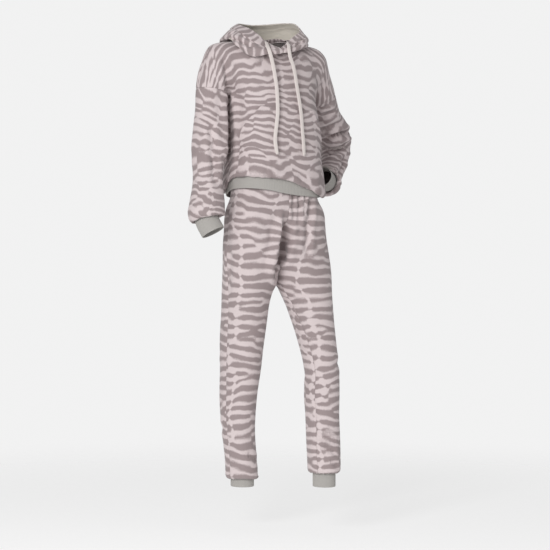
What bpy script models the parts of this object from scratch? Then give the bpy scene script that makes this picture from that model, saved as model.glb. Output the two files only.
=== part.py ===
"""Lounge set: a hoodie with dropped shoulders and matching joggers, in the hollow form of a standing wearer.

Frame: metres, +Z up. The wearer faces -Y, and their left side is at +X. The origin is the middle of the
neck at the height of the shoulder seams. "drop" is the distance below the origin.
"""

import math

import bpy
import numpy as np

# Cloth
PLUSH = 0.0025
RIB = 0.0028
LINING = 0.0012
CASING = 0.0036
SEAM_GAP = 0.0003
LINING_GAP = 0.0024
POCKET_CLEARANCE = 0.0030
HOOD_CLEARANCE = 0.0070
LIP_CLEARANCE = 0.0016
ANKLE_CLEARANCE = 0.0030

# Grid counts: columns across half a panel, rows above and below the armpit, rings of a sleeve and a leg
HALF_COLUMNS = 8
YOKE_ROWS = 8
BODY_ROWS = 6
SLEEVE_RINGS = 11
LEG_RINGS = 15
LEG_COLUMNS = 6
HOOD_COLUMNS = 10
CUFF_ROWS = 1

# Lips of cloth over the ribs: how much of the body ends above the droop, and the reach of each blend
LIP_HEIGHT = 0.026
SEAM_SHARE = 0.14
SHOULDER_REACH = 0.075
CROTCH_REACH = (0.034, 0.100, 0.050)
RISE_SHARE = 0.55

# Newton steps that bring a point to the form, and the step of their slopes
SETTLE_STEPS = 14
PROBE = 0.001

# How square the body's sections are, and how softly arms run into it
SQUARENESS = 2.4
BLEND_AT_SHOULDER = 0.034
BLEND_AT_ARMPIT = 0.026
ARMPIT_DROP = 0.152

# Ribs
BAND_HEIGHT = 0.056
CUFF_LENGTH = 0.062
CUFF_TUCK = 0.014
ANKLE_CUFF_LENGTH = 0.064

# Cords: one flat braid with two free ends
CORD_RADIUS = 0.0035
CORD_SPACING = 0.021

COLOURS = {
    "plush": (0.43, 0.37, 0.37, 1.0),
    "rib": (0.36, 0.35, 0.33, 1.0),
    "lining": (0.58, 0.56, 0.52, 1.0),
    "cord": (0.62, 0.57, 0.53, 1.0),
}


def table(names, rows):
    """A dictionary of columns from rows of numbers."""
    return dict(zip(names.split(), np.array(rows, float).T))


TORSO = table(
    "drop mid_x mid_y half_x half_y",
    [
        (-0.022, 0.000, 0.010, 0.060, 0.050),
        (-0.012, 0.000, 0.010, 0.100, 0.060),
        (0.002, 0.000, 0.009, 0.145, 0.070),
        (0.025, 0.002, 0.007, 0.166, 0.084),
        (0.060, 0.005, 0.004, 0.167, 0.098),
        (0.100, 0.010, 0.002, 0.158, 0.107),
        (0.150, 0.016, 0.000, 0.141, 0.111),
        (0.220, 0.022, 0.000, 0.142, 0.111),
        (0.320, 0.024, 0.000, 0.147, 0.113),
        (0.400, 0.024, 0.000, 0.156, 0.118),
        (0.470, 0.024, 0.000, 0.156, 0.118),
    ],
)

ARM_RIGHT = table(
    "x y z radius",
    [
        (-0.150, 0.006, -0.050, 0.050),
        (-0.171, 0.003, -0.095, 0.050),
        (-0.187, -0.002, -0.145, 0.047),
        (-0.190, -0.005, -0.200, 0.049),
        (-0.194, -0.010, -0.270, 0.053),
        (-0.199, -0.014, -0.330, 0.055),
        (-0.207, -0.020, -0.385, 0.048),
        (-0.212, -0.028, -0.440, 0.047),
        (-0.217, -0.036, -0.490, 0.052),
        (-0.222, -0.042, -0.532, 0.053),
        (-0.207, -0.058, -0.576, 0.036),
    ],
)

ARM_LEFT = table(
    "x y z radius",
    [
        (0.156, 0.008, -0.060, 0.050),
        (0.188, 0.026, -0.103, 0.050),
        (0.218, 0.050, -0.152, 0.049),
        (0.254, 0.087, -0.204, 0.049),
        (0.304, 0.128, -0.250, 0.050),
        (0.333, 0.158, -0.294, 0.050),
        (0.322, 0.146, -0.338, 0.047),
        (0.287, 0.112, -0.376, 0.043),
        (0.260, 0.080, -0.401, 0.041),
        (0.241, 0.056, -0.411, 0.041),
        (0.208, 0.023, -0.397, 0.033),
    ],
)
HOLE_KNOT = 2
PUFF_KNOT = 9

# Edge of the drooping body cloth and the bottom of the hem band, round the wearer from the left side (0),
# by the back (90) and the right side (180), to the front (270).
HEM = table(
    "turn droop_drop band_drop",
    [
        (0, 0.462, 0.466),
        (45, 0.455, 0.468),
        (90, 0.452, 0.468),
        (135, 0.452, 0.466),
        (160, 0.450, 0.458),
        (180, 0.424, 0.446),
        (205, 0.405, 0.441),
        (240, 0.405, 0.445),
        (270, 0.418, 0.459),
        (300, 0.445, 0.465),
        (325, 0.460, 0.466),
        (360, 0.462, 0.466),
    ],
)
BAND_HALF_X = 0.146
BAND_HALF_Y = 0.111
BAND_MID_X = 0.024

# Guide points of the upper front and back, for one side: out from the middle, forward (or backward), height.
# share runs from the armhole (0) to the middle of the panel (1). The low row is level with the armpit, and
# the top row is the shoulder seam and the neckline.
YOKE_LOW = table(
    "share out forward height",
    [
        (0.34, 0.106, 0.086, -0.154),
        (0.55, 0.078, 0.104, -0.154),
        (0.75, 0.050, 0.110, -0.154),
        (0.875, 0.025, 0.112, -0.154),
        (1.00, 0.000, 0.113, -0.154),
    ],
)
YOKE_MIDDLE = table(
    "share out forward height",
    [
        (0.34, 0.150, 0.068, -0.074),
        (0.55, 0.104, 0.092, -0.076),
        (0.75, 0.064, 0.103, -0.084),
        (0.875, 0.032, 0.108, -0.088),
        (1.00, 0.000, 0.109, -0.090),
    ],
)
SHOULDER_SEAM = table(
    "share out forward height",
    [
        (0.34, 0.172, 0.004, -0.004),
        (0.55, 0.128, 0.003, 0.008),
        (0.75, 0.086, 0.003, 0.014),
    ],
)
NECKLINE = {
    "front": ((0.052, -0.062, -0.010), (0.0, -0.085, -0.022)),
    "back": ((0.048, 0.048, 0.010), (0.0, 0.062, 0.008)),
}

# Radial sections of the hood, from the middle of the back (0) to the middle of the front (180): seam on the
# neckline, layer resting on the body, lowest fold, outermost fold, start of the casing, rim. The left side
# stands higher and wider open than the right.
HOOD_NAMES = "turn seam_r seam_z rest_r rest_z low_r low_z out_r out_z fold_r fold_z rim_r rim_z"
HOOD_RIGHT = table(
    HOOD_NAMES,
    [
        (0, 0.067, 0.018, 0.104, -0.030, 0.134, -0.112, 0.163, -0.040, 0.122, 0.058, 0.092, 0.075),
        (30, 0.068, 0.018, 0.106, -0.020, 0.136, -0.090, 0.163, -0.030, 0.124, 0.056, 0.094, 0.076),
        (60, 0.075, 0.019, 0.104, 0.014, 0.134, -0.008, 0.146, 0.010, 0.112, 0.054, 0.088, 0.070),
        (90, 0.086, 0.020, 0.106, 0.019, 0.132, 0.010, 0.137, 0.025, 0.106, 0.049, 0.080, 0.060),
        (115, 0.083, 0.012, 0.104, 0.010, 0.133, -0.017, 0.140, 0.005, 0.116, 0.028, 0.077, 0.047),
        (135, 0.081, 0.000, 0.104, -0.008, 0.131, -0.044, 0.135, -0.020, 0.113, 0.001, 0.080, 0.030),
        (155, 0.083, -0.012, 0.101, -0.022, 0.121, -0.038, 0.127, -0.027, 0.111, -0.015, 0.085, 0.004),
        (180, 0.087, -0.017, 0.097, -0.024, 0.111, -0.033, 0.117, -0.028, 0.112, -0.021, 0.096, -0.014),
    ],
)
HOOD_LEFT = table(
    HOOD_NAMES,
    [
        (0, 0.067, 0.018, 0.104, -0.030, 0.134, -0.112, 0.163, -0.040, 0.122, 0.058, 0.092, 0.075),
        (30, 0.068, 0.018, 0.106, -0.020, 0.136, -0.090, 0.163, -0.030, 0.124, 0.058, 0.095, 0.078),
        (60, 0.075, 0.019, 0.104, 0.016, 0.134, -0.004, 0.147, 0.018, 0.120, 0.066, 0.100, 0.080),
        (90, 0.086, 0.020, 0.106, 0.020, 0.130, 0.012, 0.137, 0.028, 0.114, 0.058, 0.104, 0.073),
        (115, 0.083, 0.012, 0.104, 0.012, 0.128, 0.000, 0.134, 0.011, 0.122, 0.031, 0.105, 0.047),
        (135, 0.081, 0.000, 0.104, -0.002, 0.126, -0.010, 0.132, 0.002, 0.116, 0.018, 0.094, 0.030),
        (155, 0.083, -0.012, 0.101, -0.017, 0.116, -0.022, 0.122, -0.012, 0.110, 0.001, 0.087, 0.012),
        (180, 0.087, -0.017, 0.097, -0.024, 0.111, -0.033, 0.117, -0.028, 0.112, -0.021, 0.096, -0.014),
    ],
)
HOOD_SHARES = (0.0, 0.16, 0.36, 0.58, 0.84, 1.0)
HOOD_ROWS = 12
LINING_COLUMNS = 5

HIPS = table(
    "drop mid_x mid_y half_x half_y",
    [
        (0.380, 0.026, -0.002, 0.126, 0.094),
        (0.440, 0.025, -0.002, 0.135, 0.100),
        (0.468, 0.025, -0.002, 0.138, 0.103),
        (0.508, 0.0275, -0.004, 0.156, 0.115),
        (0.570, 0.028, -0.006, 0.163, 0.118),
        (0.631, 0.028, -0.008, 0.168, 0.120),
        (0.720, 0.029, -0.010, 0.171, 0.120),
        (0.900, 0.029, -0.010, 0.171, 0.120),
    ],
)
LEG_NAMES = "drop mid_x mid_y half_x half_y inseam outseam"
LEG_RIGHT = table(
    LEG_NAMES,
    [
        (0.600, -0.052, 0.000, 0.084, 0.094, 0, 0),
        (0.700, -0.060, 0.002, 0.077, 0.090, 0, 5),
        (0.758, -0.066, 0.006, 0.072, 0.083, 0, 10),
        (0.823, -0.070, 0.010, 0.069, 0.079, 0, 15),
        (0.902, -0.0755, 0.013, 0.066, 0.076, 0, 15),
        (0.973, -0.080, 0.016, 0.062, 0.072, 0, 15),
        (1.081, -0.083, 0.020, 0.055, 0.064, 0, 15),
        (1.177, -0.080, 0.024, 0.049, 0.057, 0, 15),
        (1.275, -0.0740, 0.026, 0.0470, 0.053, 0, 15),
        (1.340, -0.070, 0.027, 0.0495, 0.055, 0, 15),
    ],
)
LEG_LEFT = table(
    LEG_NAMES,
    [
        (0.600, 0.110, -0.020, 0.086, 0.092, 0, 0),
        (0.700, 0.112, -0.033, 0.084, 0.092, 0, 0),
        (0.758, 0.114, -0.052, 0.075, 0.088, 6, 0),
        (0.823, 0.117, -0.078, 0.067, 0.078, 16, 0),
        (0.896, 0.120, -0.107, 0.058, 0.069, 26, 0),
        (0.986, 0.120, -0.137, 0.050, 0.062, 33, 0),
        (1.075, 0.115, -0.148, 0.051, 0.061, 33, 0),
        (1.124, 0.1125, -0.156, 0.048, 0.059, 33, 0),
        (1.229, 0.109, -0.168, 0.049, 0.058, 33, 0),
        (1.340, 0.109, -0.177, 0.050, 0.057, 33, 0),
    ],
)
# Ankle cuffs, as sections at their top; droop is where the leg's cloth ends over them.
SIZES = ("mid_x", "mid_y", "half_x", "half_y")
ANKLES = {
    "right": dict(zip(SIZES + ("top", "droop"), (-0.068, 0.027, 0.0345, 0.039, 1.290, 1.327))),
    "left": dict(zip(SIZES + ("top", "droop"), (0.107, -0.177, 0.0330, 0.038, 1.278, 1.298))),
}
RISE_FRONT = table(
    "drop x y",
    [(0.400, 0.026, -0.093), (0.462, 0.027, -0.102), (0.517, 0.025, -0.105), (0.570, 0.019, -0.097),
     (0.616, 0.015, -0.083), (0.650, 0.016, -0.066), (0.683, 0.021, -0.046), (0.714, 0.022, -0.020)],
)
RISE_BACK = table(
    "drop x y",
    [(0.400, 0.026, 0.090), (0.462, 0.027, 0.099), (0.520, 0.028, 0.110), (0.600, 0.028, 0.112),
     (0.655, 0.027, 0.090), (0.693, 0.024, 0.036), (0.714, 0.022, -0.020)],
)
WAIST_TOP = 0.384
WAIST_SEAM = 0.420
CROTCH_DROP = 0.714
THIGH_FROM = 0.560

# Pocket: half its width as an angle from the front middle, at each drop
POCKET = table(
    "drop right left",
    [(0.200, 36, 36), (0.304, 66, 62), (0.330, 66, 62), (0.388, 66, 62)],
)
POCKET_TOP = 0.200
POCKET_BOTTOM = 0.384
POCKET_SIDE_COLUMNS = 6

CORD_RIGHT_ROUTE = (
    (-0.0435, -0.0880, 0.0030), (-0.0500, -0.1060, -0.0090), (-0.0510, -0.1210, -0.0260),
    (-0.0465, -0.1235, -0.0430), (-0.0393, -0.1235, -0.0700), (-0.0318, -0.1235, -0.1050),
    (-0.0264, -0.1235, -0.1400), (-0.0240, -0.1240, -0.1790), (-0.0249, -0.1270, -0.2150),
    (-0.0292, -0.1280, -0.2490), (-0.0338, -0.1280, -0.2990), (-0.0264, -0.1280, -0.3400),
)
CORD_LEFT_ROUTE = (
    (0.0233, -0.0990, 0.0040), (0.0185, -0.1145, -0.0040), (0.0155, -0.1235, -0.0220),
    (0.0190, -0.1245, -0.0430), (0.0290, -0.1240, -0.0680), (0.0361, -0.1235, -0.0950),
    (0.0418, -0.1225, -0.1250), (0.0477, -0.1220, -0.1550), (0.0534, -0.1250, -0.1950),
    (0.0572, -0.1260, -0.2280), (0.0602, -0.1260, -0.2650), (0.0636, -0.1260, -0.2990),
    (0.0667, -0.1250, -0.3420),
)


def smooth(knots, values, at):
    """Cubic Hermite curve through the knots, each tangent taken from its neighbours."""
    knots = np.asarray(knots, float)
    values = np.asarray(values, float)
    at = np.clip(at, knots[0], knots[-1])
    slopes = np.gradient(values, knots, axis=0)
    spot = np.clip(np.searchsorted(knots, at, side="right") - 1, 0, len(knots) - 2)
    step = knots[spot + 1] - knots[spot]
    t = (at - knots[spot]) / step
    t = t.reshape(t.shape + (1,) * (values.ndim - 1))
    step = step.reshape(t.shape)
    start = (1 + 2 * t) * (1 - t) ** 2 * values[spot] + t * (1 - t) ** 2 * step * slopes[spot]
    end = t**2 * (3 - 2 * t) * values[spot + 1] - t**2 * (1 - t) * step * slopes[spot + 1]
    return start + end


def read(columns, name, at, key="drop"):
    return smooth(columns[key], columns[name], at)


def ease(value):
    """0 to 1 with flat ends."""
    value = np.clip(value, 0.0, 1.0)
    return value * value * (3 - 2 * value)


def unit(vectors):
    return vectors / np.linalg.norm(vectors, axis=-1, keepdims=True)


# ---- Form of the hoodie: torso sections and the upper arms, run softly together ----


def arm_path(arm, count, first=0.0, last=None):
    """Points and radii along an arm, evenly spread over its knots' own length."""
    knots = np.stack([arm["x"], arm["y"], arm["z"]], axis=1)
    length = np.concatenate([[0.0], np.cumsum(np.linalg.norm(np.diff(knots, axis=0), axis=1))])
    last = length[-1] if last is None else last
    at = np.linspace(first, last, count)
    return smooth(length, knots, at), smooth(length, arm["radius"], at)


def knot_length(arm, knot):
    knots = np.stack([arm["x"], arm["y"], arm["z"]], axis=1)
    return np.linalg.norm(np.diff(knots, axis=0), axis=1)[:knot].sum()


def arm_gap(points, arm):
    """Distance to a row of balls from the shoulder to just past the armhole."""
    centres, radii = arm_path(arm, 26, 0.0, knot_length(arm, HOLE_KNOT + 1))
    away = np.linalg.norm(points[..., None, :] - centres, axis=-1) - radii
    return away.min(axis=-1)


def torso_gap(points):
    """Rough distance to the section of the torso at the point's height."""
    drop = -points[..., 2]
    across = np.abs(points[..., 0] - read(TORSO, "mid_x", drop)) / read(TORSO, "half_x", drop)
    deep = np.abs(points[..., 1] - read(TORSO, "mid_y", drop)) / read(TORSO, "half_y", drop)
    spread = (across**SQUARENESS + deep**SQUARENESS) ** (1 / SQUARENESS)
    above = np.maximum(0.0, TORSO["drop"][0] - drop)
    return (spread - 1) * read(TORSO, "half_y", drop) + above


def soft_union(first, second, blend):
    share = np.clip(0.5 + 0.5 * (second - first) / blend, 0, 1)
    return second + (first - second) * share - blend * share * (1 - share)


def body_gap(points):
    """Below zero inside the hoodie's form."""
    rise = ease((points[..., 2] + ARMPIT_DROP) / 0.050)
    blend = BLEND_AT_ARMPIT + (BLEND_AT_SHOULDER - BLEND_AT_ARMPIT) * rise
    gap = torso_gap(points)
    for arm in (ARM_RIGHT, ARM_LEFT):
        gap = soft_union(gap, arm_gap(points, arm), blend)
    return gap


def settled(points, form=body_gap):
    """The points moved to the nearest place on a form, by a few damped Newton steps."""
    for _ in range(SETTLE_STEPS):
        gap = form(points)
        slope = np.stack([form(points + axis * PROBE) - gap for axis in np.eye(3)], axis=-1) / PROBE
        steep = np.maximum(np.sum(slope * slope, axis=-1), 0.2)
        points = points - 0.7 * slope * (gap / steep)[..., None]
    return points


# ---- Grids of the hoodie's outer face ----


def ring_frames(centres, side):
    """For each point of a path: a direction towards the body and one to the front, carried without twist."""
    tangents = unit(np.gradient(centres, axis=0))
    inward = np.array([-side, 0.0, 0.0])
    inwards = []
    for tangent in tangents:
        inward = unit(inward - tangent * np.dot(inward, tangent))
        inwards.append(inward)
    inwards = np.array(inwards)
    fronts = np.cross(inwards, tangents) * side
    return tangents, inwards, fronts


def armhole(arm, side, turns):
    """The armhole's points: turn 0 is the armpit, 90 the front, 180 the outside, 270 the back."""
    at = knot_length(arm, HOLE_KNOT)
    centres, radii = arm_path(arm, 5, at - 0.02, at + 0.02)
    _, inwards, fronts = ring_frames(centres, side)
    angle = np.radians(turns)[:, None]
    spokes = np.cos(angle) * inwards[2] + np.sin(angle) * fronts[2]
    return settled(centres[2] + spokes * radii[2])


def yoke_half(arm, side, facing):
    """Half of the upper front (facing -1) or back (facing 1): rows from armpit to shoulder seam, columns
    from the armhole to the middle, a smooth net through the guide points, brought to the form."""
    rise = np.linspace(0, 1, YOKE_ROWS + 1)
    share = np.linspace(0, 1, HALF_COLUMNS + 1)
    hole = armhole(arm, side, -facing * rise * 180)
    rows = [guide_row(columns, side, facing) for columns in (YOKE_LOW, YOKE_MIDDLE)]
    neck = np.array(NECKLINE["front" if facing < 0 else "back"]) * [side, 1, 1]
    rows.append(np.concatenate([guide_row(SHOULDER_SEAM, side, 1), neck]))
    guides = smooth([0.0, 0.5, 1.0], np.stack(rows), rise)
    net = np.concatenate([hole[:, None], guides], axis=1).swapaxes(0, 1)
    knots = np.concatenate([[0.0], YOKE_LOW["share"]])
    grid = smooth(knots, net, share).swapaxes(0, 1)
    on_seam = share <= SHOULDER_SEAM["share"][-1]
    seam = smooth(knots[:-2], net[:-2, -1], share)
    grid[-1, on_seam] = seam[on_seam]
    grid = np.concatenate([settled(grid[:1], torso_gap), settled(grid[1:])])
    grid[:, 0] = hole
    return grid


def guide_row(columns, side, facing):
    return np.stack([side * columns["out"], facing * columns["forward"], columns["height"]], axis=1)


def section_point(turn, drop, mid_x, mid_y, half_x, half_y, square=2.0):
    """Point of a rounded section: the turn is 0 at the wearer's left and 270 at the front."""
    cosine = np.cos(np.radians(turn))
    sine = np.sin(np.radians(turn))
    size = (np.abs(cosine) ** square + np.abs(sine) ** square) ** (-1 / square)
    return np.stack([mid_x + half_x * cosine * size, mid_y + half_y * sine * size, -drop + 0 * size], axis=-1)


def torso_point(turn, drop):
    sizes = [read(TORSO, name, drop) for name in SIZES]
    return section_point(turn, drop, *sizes, square=SQUARENESS)


def band_point(turn, drop):
    return section_point(turn, drop, BAND_MID_X, 0.0, BAND_HALF_X, BAND_HALF_Y, square=SQUARENESS)


def hem_read(name, turn):
    return read(HEM, name, np.mod(turn, 360), key="turn")


def droop_rows(turn):
    """The lip of cloth that droops over the hem band: stand-off from the band and height above the edge."""
    edge = hem_read("droop_drop", turn)
    seam = hem_read("band_drop", turn) - BAND_HEIGHT
    rows = []
    for stand, above in ((0.0125, 0.010), (0.0110, 0.003), (0.0075, 0.0), (0.0036, 0.003)):
        point = band_point(turn, edge - above)
        rows.append(point + unit((point - [BAND_MID_X, 0, 0]) * [1, 1, 0]) * stand)
    top = band_point(turn, seam)
    rows.append(top + unit((top - [BAND_MID_X, 0, 0]) * [1, 1, 0]) * LIP_CLEARANCE)
    return np.stack(rows)


def body_panel(facing):
    """The whole front (facing -1) or back (1): rows from hem seam to shoulder seam, columns right to left."""
    right = yoke_half(ARM_RIGHT, -1, facing)
    left = yoke_half(ARM_LEFT, 1, facing)[:, ::-1]
    middle = (right[:, -1:] + left[:, :1]) / 2
    yoke = np.concatenate([right[:, :-1], middle, left[:, 1:]], axis=1)
    armpit = yoke[0]
    mid_x = read(TORSO, "mid_x", -armpit[:, 2])
    half_x = read(TORSO, "half_x", -armpit[:, 2])
    half_y = read(TORSO, "half_y", -armpit[:, 2])
    turn_top = np.degrees(np.arctan2(armpit[:, 1] / half_y, (armpit[:, 0] - mid_x) / half_x))
    across = np.linspace(0, 1, 2 * HALF_COLUMNS + 1)
    turn_hem = 180 - facing * across * 180
    lowest = min(180, turn_hem[-1])
    turn_top = np.clip(np.mod(turn_top - lowest + 90, 360) + lowest - 90, lowest, lowest + 180)
    turn_top[0] = turn_hem[0]
    turn_top[-1] = turn_hem[-1]
    down = (np.linspace(0, 1, BODY_ROWS + 1) ** 1.5)[:, None]
    turn = turn_top + (turn_hem - turn_top) * ease(down)
    edge = hem_read("droop_drop", turn_hem) - LIP_HEIGHT
    drop = -armpit[:, 2] + (edge + armpit[:, 2]) * down
    rings = torso_point(turn, drop)
    settle = (1 - ease(down / SEAM_SHARE))[..., None]
    rings = rings + (armpit - rings[0]) * settle
    lower = np.concatenate([rings[1:], droop_rows(turn_hem)])[::-1]
    return np.concatenate([lower, yoke])


def sleeve_grid(arm, side):
    """Rings from the armhole to the cuff seam, the last ones curling under the puff. Columns start at the
    armpit and go round by the front."""
    turns = np.linspace(0, 360, 2 * YOKE_ROWS + 1)[:-1]
    hole = armhole(arm, side, turns)
    at_hole = knot_length(arm, HOLE_KNOT)
    at_puff = knot_length(arm, PUFF_KNOT)
    at_end = knot_length(arm, PUFF_KNOT + 1)
    centres, radii = arm_path(arm, 81, at_hole, at_end)
    _, inwards, fronts = ring_frames(centres, side)
    length = np.linspace(at_hole, at_end, 81)
    angle = np.radians(turns)
    cuff = arm["radius"][-1]

    def ring(at, radius):
        centre = smooth(length, centres, np.array([at]))[0]
        inward = unit(smooth(length, inwards, np.array([at]))[0])
        front = unit(smooth(length, fronts, np.array([at]))[0])
        spoke = np.cos(angle)[:, None] * inward + np.sin(angle)[:, None] * front
        return centre + spoke * radius[:, None]

    spread = np.linalg.norm(hole - ring(at_hole, 0 * angle), axis=1)
    rings = [hole]
    for at in np.linspace(at_hole, at_puff - 0.012, SLEEVE_RINGS)[1:]:
        plain = smooth(length, radii, np.array([at]))[0]
        settle = 1 - ease((at - at_hole) / SHOULDER_REACH)
        rings.append(ring(at, plain + (spread - radii[0]) * settle))
    for stand, past in ((0.0150, -0.001), (0.0095, 0.003), (0.0045, 0.0), (LIP_CLEARANCE, -CUFF_TUCK)):
        rings.append(ring(at_puff + past, cuff + stand + 0 * angle))
    cuff_rings = []
    for at in np.linspace(at_puff - CUFF_TUCK, at_puff - CUFF_TUCK + CUFF_LENGTH, CUFF_ROWS + 2):
        cuff_rings.append(ring(min(at, at_end), cuff + 0 * angle))
    return np.stack(rings), np.stack(cuff_rings)


def hood_grid(side, first_share, last_share, rows):
    """Half of the hood: rows from the middle of the back to the front, columns along the section."""
    turn = np.linspace(0, 180, HOOD_COLUMNS)
    share = np.linspace(first_share, last_share, rows)
    names = ("seam", "rest", "low", "out", "fold", "rim")
    hood = HOOD_RIGHT if side < 0 else HOOD_LEFT
    radii = [read(hood, name + "_r", turn, "turn") for name in names]
    heights = [read(hood, name + "_z", turn, "turn") for name in names]
    radius = smooth(HOOD_SHARES, np.stack(radii), share).T
    height = smooth(HOOD_SHARES, np.stack(heights), share).T
    angle = np.radians(turn)[:, None]
    return np.stack([side * radius * np.sin(angle), radius * np.cos(angle), height], axis=-1)


def leg_panel(side, facing):
    """One leg panel: rows from the waist seam to the ankle seam, columns from the middle seam or inseam to
    the outseam."""
    leg = LEG_RIGHT if side < 0 else LEG_LEFT
    ankle = ANKLES["right" if side < 0 else "left"]
    rise = RISE_FRONT if facing < 0 else RISE_BACK
    across = np.linspace(0, 1, LEG_COLUMNS + 1)
    drop = np.concatenate([
        np.linspace(WAIST_SEAM, CROTCH_DROP, 8)[:-1],
        np.linspace(CROTCH_DROP, ankle["droop"] - 0.010, LEG_RINGS - 7),
    ])[:, None]
    middle_turn = 270 if facing < 0 else 90
    outer_turn = 180 if side < 0 else (360 if facing < 0 else 0)
    sizes = [read(HIPS, name, drop) for name in SIZES]
    hips = section_point(middle_turn + (outer_turn - middle_turn) * across, drop, *sizes, square=2.2)
    sizes = [read(leg, name, drop) for name in SIZES]
    inner = 360 if side < 0 else 180
    if facing > 0 and side < 0:
        inner = 0
    from_turn = inner + side * read(leg, "inseam", drop)
    to_turn = outer_turn - side * read(leg, "outseam", drop)
    thigh = section_point(from_turn + (to_turn - from_turn) * across, drop, *sizes)
    grid = hips + (thigh - hips) * ease((drop - THIGH_FROM) / (CROTCH_DROP - THIGH_FROM))[..., None]
    above = np.minimum(drop[:, 0], CROTCH_DROP)
    seam = np.stack([read(rise, "x", above), read(rise, "y", above), -above], axis=1)
    pull = seam - grid[:, 0]
    below = drop[:, 0] > CROTCH_DROP
    crotch = np.argmin(np.abs(drop[:, 0] - CROTCH_DROP))
    pull[below] = pull[crotch] * (1 - ease((drop[below] - CROTCH_DROP) / np.array(CROTCH_REACH)))
    fade = 1 - ease(across / RISE_SHARE)
    grid = grid + pull[:, None, :] * fade[:, None]
    turn = (from_turn + (to_turn - from_turn) * across)[-1]
    under = ankle["top"] - ankle["droop"]
    lip = []
    for stand, below in ((0.0135, 0.0), (0.0085, 0.003), (0.0055, 0.0), (ANKLE_CLEARANCE, under)):
        wide = ankle["half_x"] + stand
        deep = ankle["half_y"] + stand
        lip.append(section_point(turn, ankle["droop"] + below, ankle["mid_x"], ankle["mid_y"], wide, deep))
    return np.concatenate([grid, np.stack(lip)])


# ---- Walls of cloth from grids ----


def outward_order(grid, inside=None):
    """The grid with its columns in the order that makes its faces point away from a point inside, or from
    the middles of its rows."""
    across = np.gradient(grid, axis=1)
    down = np.gradient(grid, axis=0)
    away = grid - (grid.mean(axis=1, keepdims=True) if inside is None else inside)
    if np.sum(np.cross(across, down) * away) < 0:
        return grid[:, ::-1]
    return grid


def seam_normals(grids, closed):
    """Outward normals of several grids, shared where their points coincide."""
    corners = []
    offsets = []
    triangles = []
    total = 0
    for grid, wraps in zip(grids, closed):
        rows, columns = grid.shape[:2]
        spot = np.arange(rows * columns).reshape(rows, columns) + total
        if wraps:
            spot = np.concatenate([spot, spot[:, :1]], axis=1)
        a, b, c, d = spot[:-1, :-1], spot[:-1, 1:], spot[1:, 1:], spot[1:, :-1]
        triangles.append(np.stack([a, b, c], axis=-1).reshape(-1, 3))
        triangles.append(np.stack([a, c, d], axis=-1).reshape(-1, 3))
        corners.append(grid.reshape(-1, 3))
        offsets.append(total)
        total += rows * columns
    corners = np.concatenate(corners)
    triangles = np.concatenate(triangles)
    _, place = np.unique(np.round(corners, 5), axis=0, return_inverse=True)
    place = place.reshape(-1)
    faces = np.cross(corners[triangles[:, 1]] - corners[triangles[:, 0]],
                     corners[triangles[:, 2]] - corners[triangles[:, 0]])
    sums = np.zeros((place.max() + 1, 3))
    for corner in range(3):
        np.add.at(sums, place[triangles[:, corner]], faces)
    normals = unit(sums[place])
    return [normals[start:start + grid.shape[0] * grid.shape[1]].reshape(grid.shape)
            for start, grid in zip(offsets, grids)]


def drawn_in(grid, closed):
    """The grid with its free edges moved half a seam gap inwards."""
    grid = grid.copy()
    half = SEAM_GAP / 2
    for edge, inner in ((0, 1), (-1, -2)):
        grid[edge] += unit(grid[inner] - grid[edge]) * half
    if not closed:
        for edge, inner in ((0, 1), (-1, -2)):
            grid[:, edge] += unit(grid[:, inner] - grid[:, edge]) * half
    return grid


def wall_object(name, grid, normals, thickness, closed, finish):
    """A closed wall of cloth: the grid is its outer face, and the inner face lies a thickness behind it."""
    outer = drawn_in(grid, closed)
    inner = outer - normals * thickness
    rows, columns = outer.shape[:2]
    spot = np.arange(rows * columns).reshape(rows, columns)
    if closed:
        spot = np.concatenate([spot, spot[:, :1]], axis=1)
    back = spot + rows * columns
    points = np.concatenate([outer.reshape(-1, 3), inner.reshape(-1, 3)])
    faces = np.stack([spot[:-1, :-1], spot[:-1, 1:], spot[1:, 1:], spot[1:, :-1]], axis=-1).reshape(-1, 4)
    behind = np.stack([back[:-1, :-1], back[1:, :-1], back[1:, 1:], back[:-1, 1:]], axis=-1).reshape(-1, 4)
    rims = [(spot[0, ::-1], back[0, ::-1]), (spot[-1], back[-1])]
    if not closed:
        rims += [(spot[:, 0], back[:, 0]), (spot[::-1, -1], back[::-1, -1])]
    triangles = np.concatenate([rim_triangles(front, rear, points) for front, rear in rims])
    mesh = bpy.data.meshes.new(name)
    mesh.from_pydata(points.tolist(), [], faces.tolist() + behind.tolist() + triangles.tolist())
    mesh.shade_smooth()
    return add_object(name, mesh, finish)


def rim_triangles(front, rear, points):
    """The narrow faces along an edge. Each is split on the diagonal that starts from its outer corner further
    along one fixed direction, so both sides of a seam split alike."""
    reach = points[front] @ np.array([0.31, 0.17, 1.0])
    first = np.stack([front[:-1], front[1:], rear[1:], front[:-1], rear[1:], rear[:-1]], axis=-1)
    second = np.stack([front[:-1], front[1:], rear[:-1], front[1:], rear[1:], rear[:-1]], axis=-1)
    return np.where((reach[:-1] > reach[1:])[:, None], first, second).reshape(-1, 3)


def add_object(name, data, finish):
    piece = bpy.data.objects.new(name, data)
    bpy.context.scene.collection.objects.link(piece)
    data.materials.append(cloth_material(name, finish))
    return piece


def cloth_material(name, finish):
    material = bpy.data.materials.new(name)
    material.use_nodes = True
    shader = material.node_tree.nodes["Principled BSDF"]
    shader.inputs["Base Color"].default_value = COLOURS[finish]
    shader.inputs["Roughness"].default_value = 0.9
    shader.inputs["Metallic"].default_value = 0.0
    return material


# ---- Pieces ----


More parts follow.
